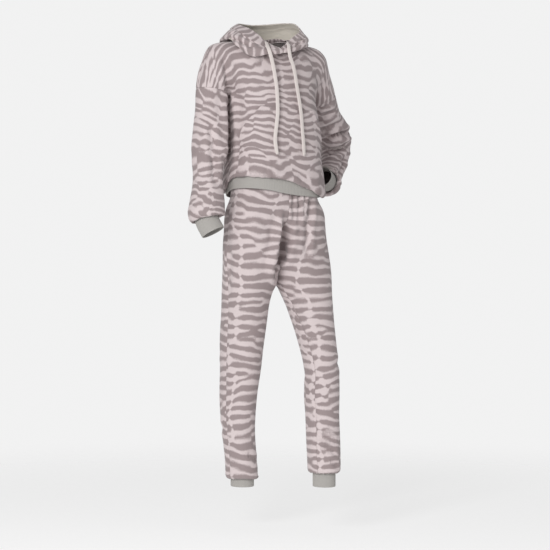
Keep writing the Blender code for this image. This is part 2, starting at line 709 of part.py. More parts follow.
def make_hoodie_body():
    grids = [outward_order(body_panel(-1)), outward_order(body_panel(1))]
    cuffs = []
    for arm, side in ((ARM_RIGHT, -1), (ARM_LEFT, 1)):
        sleeve, cuff = sleeve_grid(arm, side)
        grids.append(outward_order(sleeve))
        cuffs.append(outward_order(cuff))
    closed = [False, False, True, True]
    names = ("hoodie_front", "hoodie_back", "sleeve_right", "sleeve_left")
    for name, grid, normals, wraps in zip(names, grids, seam_normals(grids, closed), closed):
        wall_object(name, grid, normals, PLUSH, wraps, "plush")
    for name, cuff in zip(("cuff_right", "cuff_left"), cuffs):
        make_tube(name, cuff)
    make_pocket()


def make_tube(name, grid):
    normals = seam_normals([grid], [True])[0]
    wall_object(name, grid, normals, RIB, True, "rib")


def make_pocket():
    """A patch on the front, from the torso's own surface moved out past the front's cloth."""
    nominal = np.array([POCKET_TOP, 0.215, 0.240, 0.272, 0.304, 0.345, POCKET_BOTTOM])
    across = np.linspace(0, 1, 2 * POCKET_SIDE_COLUMNS + 1)
    right = read(POCKET, "right", nominal)[:, None]
    left = read(POCKET, "left", nominal)[:, None]
    turn = 270 - right + (right + left) * across
    bottom = hem_read("droop_drop", turn) - LIP_HEIGHT
    reach = (nominal[:, None] - POCKET_TOP) / (POCKET_BOTTOM - POCKET_TOP)
    grid = outward_order(torso_point(turn, POCKET_TOP + (bottom - POCKET_TOP) * reach))
    normals = seam_normals([grid], [False])[0]
    grid = grid + normals * (POCKET_CLEARANCE + PLUSH)
    wall_object("kangaroo_pocket", grid, normals, PLUSH, False, "plush")


def make_hem_band():
    turn = np.linspace(0, 360, 4 * HALF_COLUMNS + 1)[:-1]
    bottom = hem_read("band_drop", turn)
    rings = [band_point(turn, bottom - BAND_HEIGHT * share) for share in np.linspace(0, 1, CUFF_ROWS + 1)]
    make_tube("hem_band", outward_order(np.stack(rings)))


def on_body(grid):
    """The grid with each point that is too near the hoodie's form moved straight off it."""
    step = 0.002
    for _ in range(8):
        gap = body_gap(grid)
        slope = np.stack([body_gap(grid + axis * step) - gap for axis in np.eye(3)], axis=-1)
        grid = grid + unit(slope) * np.maximum(0.0, HOOD_CLEARANCE - gap)[..., None]
    return grid


def make_hood():
    shells = [outward_order(on_body(hood_grid(side, 0.0, HOOD_SHARES[-2], HOOD_ROWS))) for side in (-1, 1)]
    right = hood_grid(-1, HOOD_SHARES[-2], 1.0, 4)
    left = hood_grid(1, HOOD_SHARES[-2], 1.0, 4)
    rim = outward_order(np.concatenate([right[::-1], left[1:]]), [0, 0, -0.2])
    grids = shells + [rim]
    normals = seam_normals(grids, [False] * 3)
    wall_object("hood_casing", rim, normals[2], CASING, False, "plush")
    for label, shell, away in zip(("right", "left"), shells, normals):
        wall_object("hood_" + label, shell, away, PLUSH, False, "plush")
        rises = shell[0, -1, 2] > shell[0, 0, 2]
        upper = slice(-LINING_COLUMNS, -1) if rises else slice(1, LINING_COLUMNS)
        facing = shell[:, upper] - away[:, upper] * (PLUSH + LINING_GAP)
        wall_object("hood_lining_" + label, facing, away[:, upper], LINING, False, "lining")


def make_joggers():
    names = ("jogger_front_right", "jogger_front_left", "jogger_back_right", "jogger_back_left")
    panels = [leg_panel(side, facing) for facing in (-1, 1) for side in (-1, 1)]
    panels = [outward_order(panel) for panel in panels]
    closed = [False] * 4
    for name, grid, normals in zip(names, panels, seam_normals(panels, closed)):
        wall_object(name, grid, normals, PLUSH, False, "plush")
    turn = np.linspace(0, 360, 4 * LEG_COLUMNS + 1)[:-1]
    rings = []
    for drop in np.linspace(WAIST_TOP, WAIST_SEAM, CUFF_ROWS + 1):
        sizes = [read(HIPS, name, drop) for name in SIZES]
        rings.append(section_point(turn, drop, *sizes, square=2.2))
    make_tube("waistband", outward_order(np.stack(rings)))
    for label in ("right", "left"):
        ankle = ANKLES[label]
        turn = np.linspace(0, 360, 2 * LEG_COLUMNS + 1)[:-1]
        sizes = [ankle[name] for name in SIZES]
        drops = np.linspace(ankle["top"], ankle["top"] + ANKLE_CUFF_LENGTH, CUFF_ROWS + 1)
        rings = [section_point(turn, drop, *sizes) for drop in drops]
        make_tube("ankle_cuff_" + label, outward_order(np.stack(rings)))


def make_cord(name, route):
    route = np.array(route)
    steps = np.concatenate([[0.0], np.cumsum(np.linalg.norm(np.diff(route, axis=0), axis=1))])
    count = math.ceil(steps[-1] / CORD_SPACING) + 1
    points = smooth(steps, route, np.linspace(0, steps[-1], count))
    curve = bpy.data.curves.new(name, "CURVE")
    curve.dimensions = "3D"
    curve.bevel_depth = CORD_RADIUS
    curve.bevel_resolution = 2
    curve.use_fill_caps = True
    spline = curve.splines.new("POLY")
    spline.points.add(count - 1)
    for point, place in zip(spline.points, points):
        point.co = (*place, 1.0)
    add_object(name, curve, "cord")


def main():
    for piece in list(bpy.data.objects):
        bpy.data.objects.remove(piece)
    make_hoodie_body()
    make_hem_band()
    make_hood()
    make_joggers()
    make_cord("drawcord_right", CORD_RIGHT_ROUTE)
    make_cord("drawcord_left", CORD_LEFT_ROUTE)


main()
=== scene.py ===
"""Lounge set: a plush hoodie with dropped shoulders and matching joggers, hollow, in the form of a standing
wearer. Metres, +Z up. The wearer faces -Y, and their left side is at +X. The origin is the middle of the neck
at the height of the shoulder seams, and "drop" is the distance below it.
"""

import math

import bpy
import numpy as np
from numpy.linalg import norm
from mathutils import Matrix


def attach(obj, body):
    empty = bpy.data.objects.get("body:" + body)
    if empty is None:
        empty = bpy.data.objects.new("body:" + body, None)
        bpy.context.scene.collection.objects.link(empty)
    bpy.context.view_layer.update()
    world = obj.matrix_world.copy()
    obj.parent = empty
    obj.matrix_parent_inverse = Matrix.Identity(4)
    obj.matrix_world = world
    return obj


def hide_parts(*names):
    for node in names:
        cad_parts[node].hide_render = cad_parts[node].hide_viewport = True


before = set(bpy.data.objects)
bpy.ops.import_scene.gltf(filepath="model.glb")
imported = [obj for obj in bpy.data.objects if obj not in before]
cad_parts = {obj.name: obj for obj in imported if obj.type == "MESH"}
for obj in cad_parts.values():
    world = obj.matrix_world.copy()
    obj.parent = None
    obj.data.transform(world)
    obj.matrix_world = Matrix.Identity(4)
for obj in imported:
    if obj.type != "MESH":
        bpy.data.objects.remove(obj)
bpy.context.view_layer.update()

# Thickness of the cloths, their seams and ribs, the cords, and how far the hood and the lips stand off
PLUSH = 0.0024
RIB = 0.0026
LINING = 0.0011
CASING = 0.0036
EDGE_ROUNDING = 0.94
SEAM_DIP = 0.0013
SWELL = 0.0026
SEAM_WIDTH = 0.0040
CORD_WIDTH = 0.012
CORD_THICKNESS = 0.0038
CORD_ROUNDING = 0.002
CORD_TAPER = 0.018
RIB_HEIGHT = 0.00045
RIB_FADE = 0.003
HOOD_CLEARANCE = 0.0070
HOOD_PLY = 0.0085
HOOD_PLY_EASE = 0.14
HOOD_PUSHES = 8
HOOD_SOFTENING = 26
LIP_CLEARANCE = 0.0016
ANKLE_CLEARANCE = 0.0030
LINING_GAP = 0.0024
LINING_FROM = 0.62
LINING_TO = 0.92

# How square the body's sections are, how softly arms run into it, and the shares of the yoke that are drawn
# to its seam and to its level foot
SQUARENESS = 2.4
BLEND_AT_SHOULDER = 0.034
BLEND_AT_ARMPIT = 0.026
ARMPIT_DROP = 0.152
ARMPIT_EASE = 0.050
YOKE_TOP_FROM = 0.8
YOKE_TOP = 0.2
YOKE_FOOT = 0.15

# Lengths of the ribs, where they tuck under the cloth, and how far seams shape the cloth round them
BAND_HEIGHT = 0.056
CUFF_LENGTH = 0.062
CUFF_TUCK = 0.014
ANKLE_CUFF_LENGTH = 0.064
LIP_HEIGHT = 0.026
SEAM_SHARE = 0.14
SHOULDER_REACH = 0.075
PUFF_DEPTH = 0.012
CROTCH_REACH = (0.034, 0.100, 0.050)
RISE_SHARE = 0.55
HIP_SQUARENESS = 2.2

# Gathers at a seam: how many pleats, their height and their reach; ribs round each band; and how far from a
# tucked edge the cloth comes free
HEM_GATHERS = (30, 0.0013, 0.060)
CUFF_GATHERS = (13, 0.0018, 0.055)
ANKLE_GATHERS = (11, 0.0014, 0.045)
WAIST_GATHERS = (34, 0.0012, 0.070)
HEM_RIBS = 180
CUFF_RIBS = 50
WAIST_RIBS = 90
ANKLE_RIBS = 54
FREE_AT_HEM = 0.024
FREE_AT_ANKLE = 0.020

# Cloth that droops over a band or a cuff: stand-off from it, and how far above or past the droop's edge
HEM_LIP = ((0.0125, 0.010), (0.0110, 0.003), (0.0075, 0.0), (0.0036, 0.003))
CUFF_LIP = ((0.0150, -0.001), (0.0095, 0.003), (0.0045, 0.0), (LIP_CLEARANCE, -CUFF_TUCK))
ANKLE_LIP = ((0.0135, 0.0), (0.0085, 0.003), (0.0055, 0.0))

# Folds: how near its route a fold catches the cloth, how far it is felt and fades at its ends, and the swell
# on either side of it; low waves all over the cloth; seeds of their directions
FOLD_CATCH = 0.006
FOLD_REACH = 5
FOLD_FADE = 0.3
FOLD_SWELL = 0.32
FOLD_SWELL_AWAY = 2.1
WAVES = 9
HOODIE_SEED = 7
HOOD_SEED = 21
JOGGER_SEED = 33

# Newton steps that bring a point to the form, their damping and least slope, and the step of their slopes
SETTLE_STEPS = 14
DAMPING = 0.7
LEAST_SLOPE = 0.2
PROBE = 0.001

# The viewer's eye: azimuth round the wearer, distance, height, lens and shift
EYE_AZIMUTH = -27
EYE_AWAY = 6.0
EYE_HEIGHT = -0.60
LENS = 127.5
SHIFT = (0.0164, -0.0622)
FLOOR = -1.49
FLOOR_HALF = 8
FLOOR_FADE = (1.6, 3.2)
BACKDROP = 0.885

# Colours and sheen of the cloths, and the room's light: azimuth, elevation, distance, size and power of lamps
PRINT_LIGHT = (0.615, 0.535, 0.535)
PRINT_DARK = (0.305, 0.250, 0.250)
PLUSH_SHEEN = 0.25
SHEEN_ROUGHNESS = 0.45
SPECULAR = 0.15
NAP_STRENGTH = 0.6
# Painted highlight on the pile's tips and painted shade in its troughs, as shares of a plain cloth's colour
PAINTED_PILE_TIP_LIGHT = 1.06
PAINTED_PILE_TROUGH_SHADE = 0.93
REVERSE_COLOUR = (0.50, 0.44, 0.43)
RIB_COLOUR = (0.375, 0.36, 0.34)
LINING_COLOUR = (0.66, 0.62, 0.56)
CORD_COLOUR = (0.67, 0.61, 0.585)
FLOOR_SHADE = 0.42
FLOOR_GLOW = 0.575
AMBIENT = 0.42
LAMPS = (("front_lamp", -46, 15, 4.2, 1.8, 124.0), ("side_lamp", 30, 15, 4.5, 3.0, 16.0))

# Prints: spacing of the stripes, bend, evenness, share of dark, unevenness, spines' spacing and their depth;
# and the painted shade of the pile, darker in its troughs and lighter on its tips
SWIRLS = (0.0265, 0.11, 0.70, 0.56, 1.4, 0.23, 0.35)
BARS = (0.0290, 0.035, 0.88, 0.58, 1.2, 0.15, 0.50)
PAINTED_PILE_SHADE = (0.2, 0.8, 0.93, 1.05)

# Name of the layer that holds each panel's flat cut, in metres, and where the cuts lie on the printed cloth
CUT = "cut"
CUT_PLACES = {
    "hoodie_back": (1.3, 0.7), "sleeve_right": (2.6, 0.4), "sleeve_left": (3.9, 0.15),
    "kangaroo_pocket": (5.2, 0.31), "hood_right": (6.5, 0.22), "hood_left": (7.8, 0.22),
    "hood_casing": (9.1, 0.22), "jogger_front_right": (0.385, 2.3), "jogger_front_left": (2.045, 4.2),
    "jogger_back_right": (3.8, 6.1), "jogger_back_left": (5.5, 8.0),
}

# Fineness of the surfaces
SPINE_POINTS = 40
CORD_RINGS = 150
CORD_SIDES = 20
RIB_STEPS = 6
YOKE_ROWS = 56
HALF_COLUMNS = 60
BODY_ROWS = 78
SLEEVE_ROWS = 150
RIB_ROWS = 18
LEG_COLUMNS = 52
RISE_ROWS = 62
LEG_ROWS = 122
HOOD_TURNS = 110
HOOD_SECTIONS = 96
CASING_COLUMNS = 22
SLEEVE_RINGS = 20
ARM_BALLS = 26
ARM_STATIONS = 81
LIP_ROWS = 26
LEAD_IN = 8
POCKET_COLUMNS = 110


UNSCALED = ("turn", "share", "inseam", "outseam", "right", "left")


def table(names, rows):
    """A dictionary of columns. Lengths are written in millimetres and kept in metres; turns, in degrees, and
    shares stay as they are written."""
    columns = dict(zip(names.split(), np.array(rows, float).T))
    return {name: column if name in UNSCALED else column / 1000 for name, column in columns.items()}


TORSO = table("drop mid_x mid_y half_x half_y", [
    (-22, 0, 10, 60, 50), (-12, 0, 10, 100, 60), (2, 0, 9, 145, 70), (25, 2, 7, 166, 84),
    (60, 5, 4, 167, 98), (100, 10, 2, 158, 107), (150, 16, 0, 141, 111), (220, 22, 0, 142, 111),
    (320, 24, 0, 147, 113), (400, 24, 0, 156, 118), (470, 24, 0, 156, 118),
])

ARM_RIGHT = table("x y z radius", [
    (-150, 6, -50, 50), (-171, 3, -95, 50), (-187, -2, -145, 47), (-190, -5, -200, 49),
    (-194, -10, -270, 53), (-199, -14, -330, 55), (-207, -20, -385, 48), (-212, -28, -440, 47),
    (-217, -36, -490, 52), (-222, -42, -532, 53), (-207, -58, -576, 36),
])

ARM_LEFT = table("x y z radius", [
    (156, 8, -60, 50), (188, 26, -103, 50), (218, 50, -152, 49), (254, 87, -204, 49), (304, 128, -250, 50),
    (333, 158, -294, 50), (322, 146, -338, 47), (287, 112, -376, 43), (260, 80, -401, 41),
    (241, 56, -411, 41), (208, 23, -397, 33),
])
ARMS = {-1: ARM_RIGHT, 1: ARM_LEFT}
HOLE_KNOT = 2
PUFF_KNOT = 9
HOLE_STEP = 0.02

# Edge of the drooping body cloth and the bottom of the hem band, round the wearer from the left side (0),
# by the back (90) and the right side (180), to the front (270).
HEM = table("turn droop_drop band_drop", [
    (0, 462, 466), (45, 455, 468), (90, 452, 468), (135, 452, 466), (160, 450, 458), (180, 424, 446),
    (205, 405, 441), (240, 405, 445), (270, 418, 459), (300, 445, 465), (325, 460, 466), (360, 462, 466),
])
BAND_HALF_X = 0.146
BAND_HALF_Y = 0.111
BAND_MID_X = 0.024

# Guide points of the upper front and back, for one side: out from the middle, forward (or backward), height.
# share runs from the armhole (0) to the middle of the panel (1). The low row is level with the armpit, and
# the top row is the shoulder seam and the neckline.
YOKE_NAMES = "share out forward height"
YOKE_LOW = table(YOKE_NAMES, [
    (0.34, 106, 86, -154), (0.55, 78, 104, -154), (0.75, 50, 110, -154), (0.875, 25, 112, -154),
    (1, 0, 113, -154),
])
YOKE_MIDDLE = table(YOKE_NAMES, [
    (0.34, 150, 68, -74), (0.55, 104, 92, -76), (0.75, 64, 103, -84), (0.875, 32, 108, -88),
    (1, 0, 109, -90),
])
SHOULDER_SEAM = table(YOKE_NAMES, [
    (0.34, 172, 4, -4), (0.55, 128, 3, 8), (0.75, 86, 3, 14),
])
NECKLINE = {
    "front": ((0.052, -0.062, -0.010), (0.0, -0.085, -0.022)),
    "back": ((0.048, 0.048, 0.010), (0.0, 0.062, 0.008)),
}

# Radial sections of the hood, from the middle of the back (0) to the middle of the front (180): seam on the
# neckline, layer resting on the body, lowest fold, outermost fold, start of the casing, rim. The left side
# stands higher and wider open than the right.
HOOD_NAMES = "turn seam_r seam_z rest_r rest_z low_r low_z out_r out_z fold_r fold_z rim_r rim_z"
HOOD_RIGHT = table(HOOD_NAMES, [
    (0, 67, 18, 104, -30, 134, -112, 163, -40, 122, 58, 92, 75),
    (30, 68, 18, 106, -20, 136, -90, 163, -30, 124, 56, 94, 76),
    (60, 75, 19, 104, 14, 134, -8, 146, 10, 112, 54, 88, 70),
    (90, 86, 20, 106, 19, 132, 10, 137, 25, 106, 49, 80, 60),
    (115, 83, 12, 104, 10, 133, -17, 140, 5, 116, 28, 77, 47),
    (135, 81, 0, 104, -8, 131, -44, 135, -20, 113, 1, 80, 30),
    (155, 83, -12, 101, -22, 121, -38, 127, -27, 111, -15, 85, 4),
    (180, 87, -17, 97, -24, 111, -33, 117, -28, 112, -21, 96, -14),
])
HOOD_LEFT = table(HOOD_NAMES, [
    (0, 67, 18, 104, -30, 134, -112, 163, -40, 122, 58, 92, 75),
    (30, 68, 18, 106, -20, 136, -90, 163, -30, 124, 58, 95, 78),
    (60, 75, 19, 104, 16, 134, -4, 147, 18, 120, 66, 100, 80),
    (90, 86, 20, 106, 20, 130, 12, 137, 28, 114, 58, 104, 73),
    (115, 83, 12, 104, 12, 128, 0, 134, 11, 122, 31, 105, 47),
    (135, 81, 0, 104, -2, 126, -10, 132, 2, 116, 18, 94, 30),
    (155, 83, -12, 101, -17, 116, -22, 122, -12, 110, 1, 87, 12),
    (180, 87, -17, 97, -24, 111, -33, 117, -28, 112, -21, 96, -14),
])
HOOD_SHARES = (0.0, 0.16, 0.36, 0.58, 0.84, 1.0)

HIPS = table("drop mid_x mid_y half_x half_y", [
    (380, 26, -2, 126, 94), (440, 25, -2, 135, 100), (468, 25, -2, 138, 103), (508, 27.5, -4, 156, 115),
    (570, 28, -6, 163, 118), (631, 28, -8, 168, 120), (720, 29, -10, 171, 120), (900, 29, -10, 171, 120),
])
LEG_NAMES = "drop mid_x mid_y half_x half_y inseam outseam"
LEG_RIGHT = table(LEG_NAMES, [
    (600, -52, 0, 84, 94, 0, 0), (700, -60, 2, 77, 90, 0, 5), (758, -66, 6, 72, 83, 0, 10),
    (823, -70, 10, 69, 79, 0, 15), (902, -75.5, 13, 66, 76, 0, 15), (973, -80, 16, 62, 72, 0, 15),
    (1081, -83, 20, 55, 64, 0, 15), (1177, -80, 24, 49, 57, 0, 15), (1275, -74, 26, 47, 53, 0, 15),
    (1340, -70, 27, 49.5, 55, 0, 15),
])
LEG_LEFT = table(LEG_NAMES, [
    (600, 110, -20, 86, 92, 0, 0), (700, 112, -33, 84, 92, 0, 0), (758, 114, -52, 75, 88, 6, 0),
    (823, 117, -78, 67, 78, 16, 0), (896, 120, -107, 58, 69, 26, 0), (986, 120, -137, 50, 62, 33, 0),
    (1075, 115, -148, 51, 61, 33, 0), (1124, 112.5, -156, 48, 59, 33, 0), (1229, 109, -168, 49, 58, 33, 0),
    (1340, 109, -177, 50, 57, 33, 0),
])
# Ankle cuffs, as sections at their top; droop is where the leg's cloth ends over them.
SIZES = ("mid_x", "mid_y", "half_x", "half_y")
ANKLES = {
    -1: dict(zip(SIZES + ("top", "droop"), (-0.068, 0.027, 0.0345, 0.039, 1.290, 1.327))),
    1: dict(zip(SIZES + ("top", "droop"), (0.107, -0.177, 0.0330, 0.038, 1.278, 1.298))),
}
LEGS = {-1: LEG_RIGHT, 1: LEG_LEFT}
SIDES = {"right": -1, "left": 1}
RISE_FRONT = table("drop x y", [
    (400, 26, -93), (462, 27, -102), (517, 25, -105), (570, 19, -97), (616, 15, -83), (650, 16, -66),
    (683, 21, -46), (714, 22, -20),
])
RISE_BACK = table("drop x y", [
    (400, 26, 90), (462, 27, 99), (520, 28, 110), (600, 28, 112), (655, 27, 90), (693, 24, 36),
    (714, 22, -20),
])
WAIST_TOP = 0.384
WAIST_SEAM = 0.420
CROTCH_DROP = 0.714
THIGH_FROM = 0.560

# Pocket: half its width as an angle from the front middle, at each drop
POCKET = table("drop right left", [
    (200, 36, 36), (304, 66, 62), (330, 66, 62), (388, 66, 62),
])

POCKET_TOP = 0.200
POCKET_SLANT_END = 0.304
POCKET_LIFT = 0.0010
POCKET_OPEN = 0.0035
SLANT_EASE = 0.012

CORD_RIGHT_ROUTE = (
    (-0.0435, -0.0880, 0.0030), (-0.0500, -0.1060, -0.0090), (-0.0510, -0.1210, -0.0260),
    (-0.0465, -0.1235, -0.0430), (-0.0393, -0.1235, -0.0700), (-0.0318, -0.1235, -0.1050),
    (-0.0264, -0.1235, -0.1400), (-0.0240, -0.1240, -0.1790), (-0.0249, -0.1270, -0.2150),
    (-0.0292, -0.1280, -0.2490), (-0.0338, -0.1280, -0.2990), (-0.0264, -0.1280, -0.3400),
)
CORD_LEFT_ROUTE = (
    (0.0233, -0.0990, 0.0040), (0.0185, -0.1145, -0.0040), (0.0155, -0.1235, -0.0220),
    (0.0190, -0.1245, -0.0430), (0.0290, -0.1240, -0.0680), (0.0361, -0.1235, -0.0950),
    (0.0418, -0.1225, -0.1250), (0.0477, -0.1220, -0.1550), (0.0534, -0.1250, -0.1950),
    (0.0572, -0.1260, -0.2280), (0.0602, -0.1260, -0.2650), (0.0636, -0.1260, -0.2990),
    (0.0667, -0.1250, -0.3420),
)


def smooth(knots, values, at):
    """Cubic Hermite curve through the knots, each tangent taken from its neighbours."""
    knots = np.asarray(knots, float)
    values = np.asarray(values, float)
    at = np.clip(at, knots[0], knots[-1])
    slopes = np.gradient(values, knots, axis=0)
    spot = np.clip(np.searchsorted(knots, at, side="right") - 1, 0, len(knots) - 2)
    step = knots[spot + 1] - knots[spot]
    t = (at - knots[spot]) / step
    t = t.reshape(t.shape + (1,) * (values.ndim - 1))
    step = step.reshape(t.shape)
    start = (1 + 2 * t) * (1 - t) ** 2 * values[spot] + t * (1 - t) ** 2 * step * slopes[spot]
    end = t**2 * (3 - 2 * t) * values[spot + 1] - t**2 * (1 - t) * step * slopes[spot + 1]
    return start + end


def read(columns, name, at, key="drop"):
    return smooth(columns[key], columns[name], at)


def sizes_at(columns, drop):
    """Middle and half-sizes of a section at a drop."""
    return [read(columns, name, drop) for name in SIZES]


def turn_of(points, mid_x=0.0, mid_y=0.0, half_x=1.0, half_y=1.0):
    """Turn of points round the middle of a section, in radians."""
    return np.arctan2((points[..., 1] - mid_y) / half_y, (points[..., 0] - mid_x) / half_x)


def ease(value):
    """0 to 1 with flat ends."""
    value = np.clip(value, 0.0, 1.0)
    return value * value * (3 - 2 * value)


def unit(vectors):
    return vectors / norm(vectors, axis=-1, keepdims=True)


def lengths(path):
    """Distance of each point of a path from its first, along the path."""
    return np.cumsum([0.0, *norm(np.diff(path, axis=0), axis=1)])


# ---- Form of the hoodie: torso sections and the upper arms, run softly together ----


def arm_line(arm):
    """Knots along the middle of an arm, and the length up to each of them."""
    knots = np.stack([arm["x"], arm["y"], arm["z"]], axis=1)
    return knots, lengths(knots)


def arm_path(arm, count, first, last):
    """Points and radii along an arm, evenly spread from one length to another."""
    knots, length = arm_line(arm)
    at = np.linspace(first, last, count)
    return smooth(length, knots, at), smooth(length, arm["radius"], at)


def arm_gap(points, arm):
    """Distance to a row of balls from the shoulder to just past the armhole."""
    centres, radii = arm_path(arm, ARM_BALLS, 0.0, arm_line(arm)[1][HOLE_KNOT + 1])
    away = norm(points[..., None, :] - centres, axis=-1) - radii
    return away.min(axis=-1)


def torso_gap(points):
    """Rough distance to the section of the torso at the point's height."""
    drop = -points[..., 2]
    mid_x, mid_y, half_x, half_y = sizes_at(TORSO, drop)
    across = np.abs(points[..., 0] - mid_x) / half_x
    deep = np.abs(points[..., 1] - mid_y) / half_y
    spread = (across**SQUARENESS + deep**SQUARENESS) ** (1 / SQUARENESS)
    return (spread - 1) * half_y + np.maximum(0.0, TORSO["drop"][0] - drop)


def soft_union(first, second, blend):
    share = np.clip(0.5 + 0.5 * (second - first) / blend, 0, 1)
    return second + (first - second) * share - blend * share * (1 - share)


def body_gap(points):
    """Below zero inside the hoodie's form."""
    rise = ease((points[..., 2] + ARMPIT_DROP) / ARMPIT_EASE)
    blend = BLEND_AT_ARMPIT + (BLEND_AT_SHOULDER - BLEND_AT_ARMPIT) * rise
    gap = torso_gap(points)
    for arm in ARMS.values():
        gap = soft_union(gap, arm_gap(points, arm), blend)
    return gap


def slopes(form, points, gap, step):
    """How much a form's gap grows over a step along each axis."""
    return np.stack([form(points + axis * step) - gap for axis in np.eye(3)], axis=-1)


def settled(points, form=body_gap):
    """The points moved to the nearest place on a form, by a few damped Newton steps."""
    for _ in range(SETTLE_STEPS):
        gap = form(points)
        slope = slopes(form, points, gap, PROBE) / PROBE
        steep = np.maximum(np.sum(slope * slope, axis=-1), LEAST_SLOPE)
        points = points - DAMPING * slope * (gap / steep)[..., None]
    return points


# ---- Grids of the hoodie's outer face ----


def ring_frames(centres, side):
    """For each point of a path: a direction towards the body and one to the front, carried without twist."""
    inward = np.array([-side, 0.0, 0.0])
    tangents = unit(np.gradient(centres, axis=0))
    inwards = []
    for tangent in tangents:
        inward = unit(inward - tangent * np.dot(inward, tangent))
        inwards.append(inward)
    inwards = np.array(inwards)
    fronts = np.cross(inwards, tangents) * side
    return inwards, fronts


def armhole(side, turns):
    """The armhole's points: turn 0 is the armpit, 90 the front, 180 the outside, 270 the back."""
    arm = ARMS[side]
    at = arm_line(arm)[1][HOLE_KNOT]
    centres, radii = arm_path(arm, 5, at - HOLE_STEP, at + HOLE_STEP)
    inwards, fronts = ring_frames(centres, side)
    angle = np.radians(turns)[:, None]
    spokes = np.cos(angle) * inwards[2] + np.sin(angle) * fronts[2]
    return settled(centres[2] + spokes * radii[2])


def guide_row(columns, side, facing):
    return np.stack([side * columns["out"], facing * columns["forward"], columns["height"]], axis=1)


def yoke_half(side, facing):
    """Half of the upper front (facing -1) or back (facing 1): rows from armpit to shoulder seam, columns
    from the armhole to the middle, a smooth net through the guide points, brought to the form."""
    rise = np.linspace(0, 1, YOKE_ROWS + 1)
    share = np.linspace(0, 1, HALF_COLUMNS + 1)
    hole = armhole(side, -facing * rise * 180)
    rows = [guide_row(columns, side, facing) for columns in (YOKE_LOW, YOKE_MIDDLE)]
    neck = np.array(NECKLINE["front" if facing < 0 else "back"]) * [side, 1, 1]
    rows.append(np.concatenate([guide_row(SHOULDER_SEAM, side, 1), neck]))
    guides = smooth([0.0, 0.5, 1.0], np.stack(rows), rise)
    net = np.concatenate([hole[:, None], guides], axis=1).swapaxes(0, 1)
    knots = np.concatenate([[0.0], YOKE_LOW["share"]])
    grid = smooth(knots, net, share).swapaxes(0, 1)
    on_seam = share <= SHOULDER_SEAM["share"][-1]
    seam = smooth(knots[:-2], net[:-2, -1], share)
    blend = ease((rise - YOKE_TOP_FROM) / YOKE_TOP)[:, None, None]
    grid = grid + np.where(on_seam[:, None], seam - grid[-1], 0.0) * blend
    level = ease(rise / YOKE_FOOT)[:, None]

    def form(points):
        return torso_gap(points) + (body_gap(points) - torso_gap(points)) * level

    grid = settled(grid, form)
    grid[:, 0] = hole
    return grid


def section_point(turn, drop, mid_x, mid_y, half_x, half_y, square=2.0):
    """Point of a rounded section: the turn is 0 at the wearer's left and 270 at the front."""
    cosine = np.cos(np.radians(turn))
    sine = np.sin(np.radians(turn))
    size = (np.abs(cosine) ** square + np.abs(sine) ** square) ** (-1 / square)
    return np.stack([mid_x + half_x * cosine * size, mid_y + half_y * sine * size, -drop + 0 * size], axis=-1)


def torso_point(turn, drop):
    return section_point(turn, drop, *sizes_at(TORSO, drop), square=SQUARENESS)


def band_point(turn, drop):
    return section_point(turn, drop, BAND_MID_X, 0.0, BAND_HALF_X, BAND_HALF_Y, square=SQUARENESS)


def hem_read(name, turn):
    return read(HEM, name, np.mod(turn, 360), key="turn")


def droop_rows(turn):
    """The lip of cloth that droops over the hem band, from its outside down and under to the band's seam."""
    edge = hem_read("droop_drop", turn)
    drops = [(stand, edge - above) for stand, above in HEM_LIP]
    drops.append((LIP_CLEARANCE, hem_read("band_drop", turn) - BAND_HEIGHT))
    rows = []
    for stand, drop in drops:
        point = band_point(turn, drop)
        rows.append(point + unit((point - [BAND_MID_X, 0, 0]) * [1, 1, 0]) * stand)
    return np.stack(rows)


def refined(rows, first, count):
    """A short stack of rows run smoothly into many, from one of them to the last, at their mean spacing."""
    knots = np.cumsum([0.0, *norm(np.diff(rows, axis=0), axis=-1).mean(axis=1)])
    return smooth(knots, rows, np.linspace(knots[first], knots[-1], count))


def lip_rows(grid, rows):
    """The rows of a lip, run smoothly out of a grid's last row."""
    return refined(np.stack([grid[-LEAD_IN], grid[-1], *rows]), 1, LIP_ROWS)


def body_panel(facing):
    """The whole front (facing -1) or back (1): rows from hem seam to shoulder seam, columns right to left."""
    right = yoke_half(-1, facing)
    left = yoke_half(1, facing)[:, ::-1]
    middle = (right[:, -1:] + left[:, :1]) / 2
    yoke = np.concatenate([right[:, :-1], middle, left[:, 1:]], axis=1)
    armpit = yoke[0]
    mid_x, _, half_x, half_y = sizes_at(TORSO, -armpit[:, 2])
    turn_top = np.degrees(turn_of(armpit, mid_x, 0.0, half_x, half_y))
    across = np.linspace(0, 1, 2 * HALF_COLUMNS + 1)
    turn_hem = 180 - facing * across * 180
    lowest = min(180, turn_hem[-1])
    turn_top = np.clip(np.mod(turn_top - lowest + 90, 360) + lowest - 90, lowest, lowest + 180)
    turn_top[0] = turn_hem[0]
    turn_top[-1] = turn_hem[-1]
    down = np.linspace(0, 1, BODY_ROWS + 1)[:, None]
    turn = turn_top + (turn_hem - turn_top) * ease(down)
    edge = hem_read("droop_drop", turn_hem) - LIP_HEIGHT
    drop = -armpit[:, 2] + (edge + armpit[:, 2]) * down
    rings = torso_point(turn, drop)
    settle = (1 - ease(down / SEAM_SHARE))[..., None]
    rings = rings + (armpit - rings[0]) * settle
    lip = lip_rows(rings, droop_rows(turn_hem))
    return np.concatenate([np.concatenate([rings[1:], lip[1:]])[::-1], yoke])


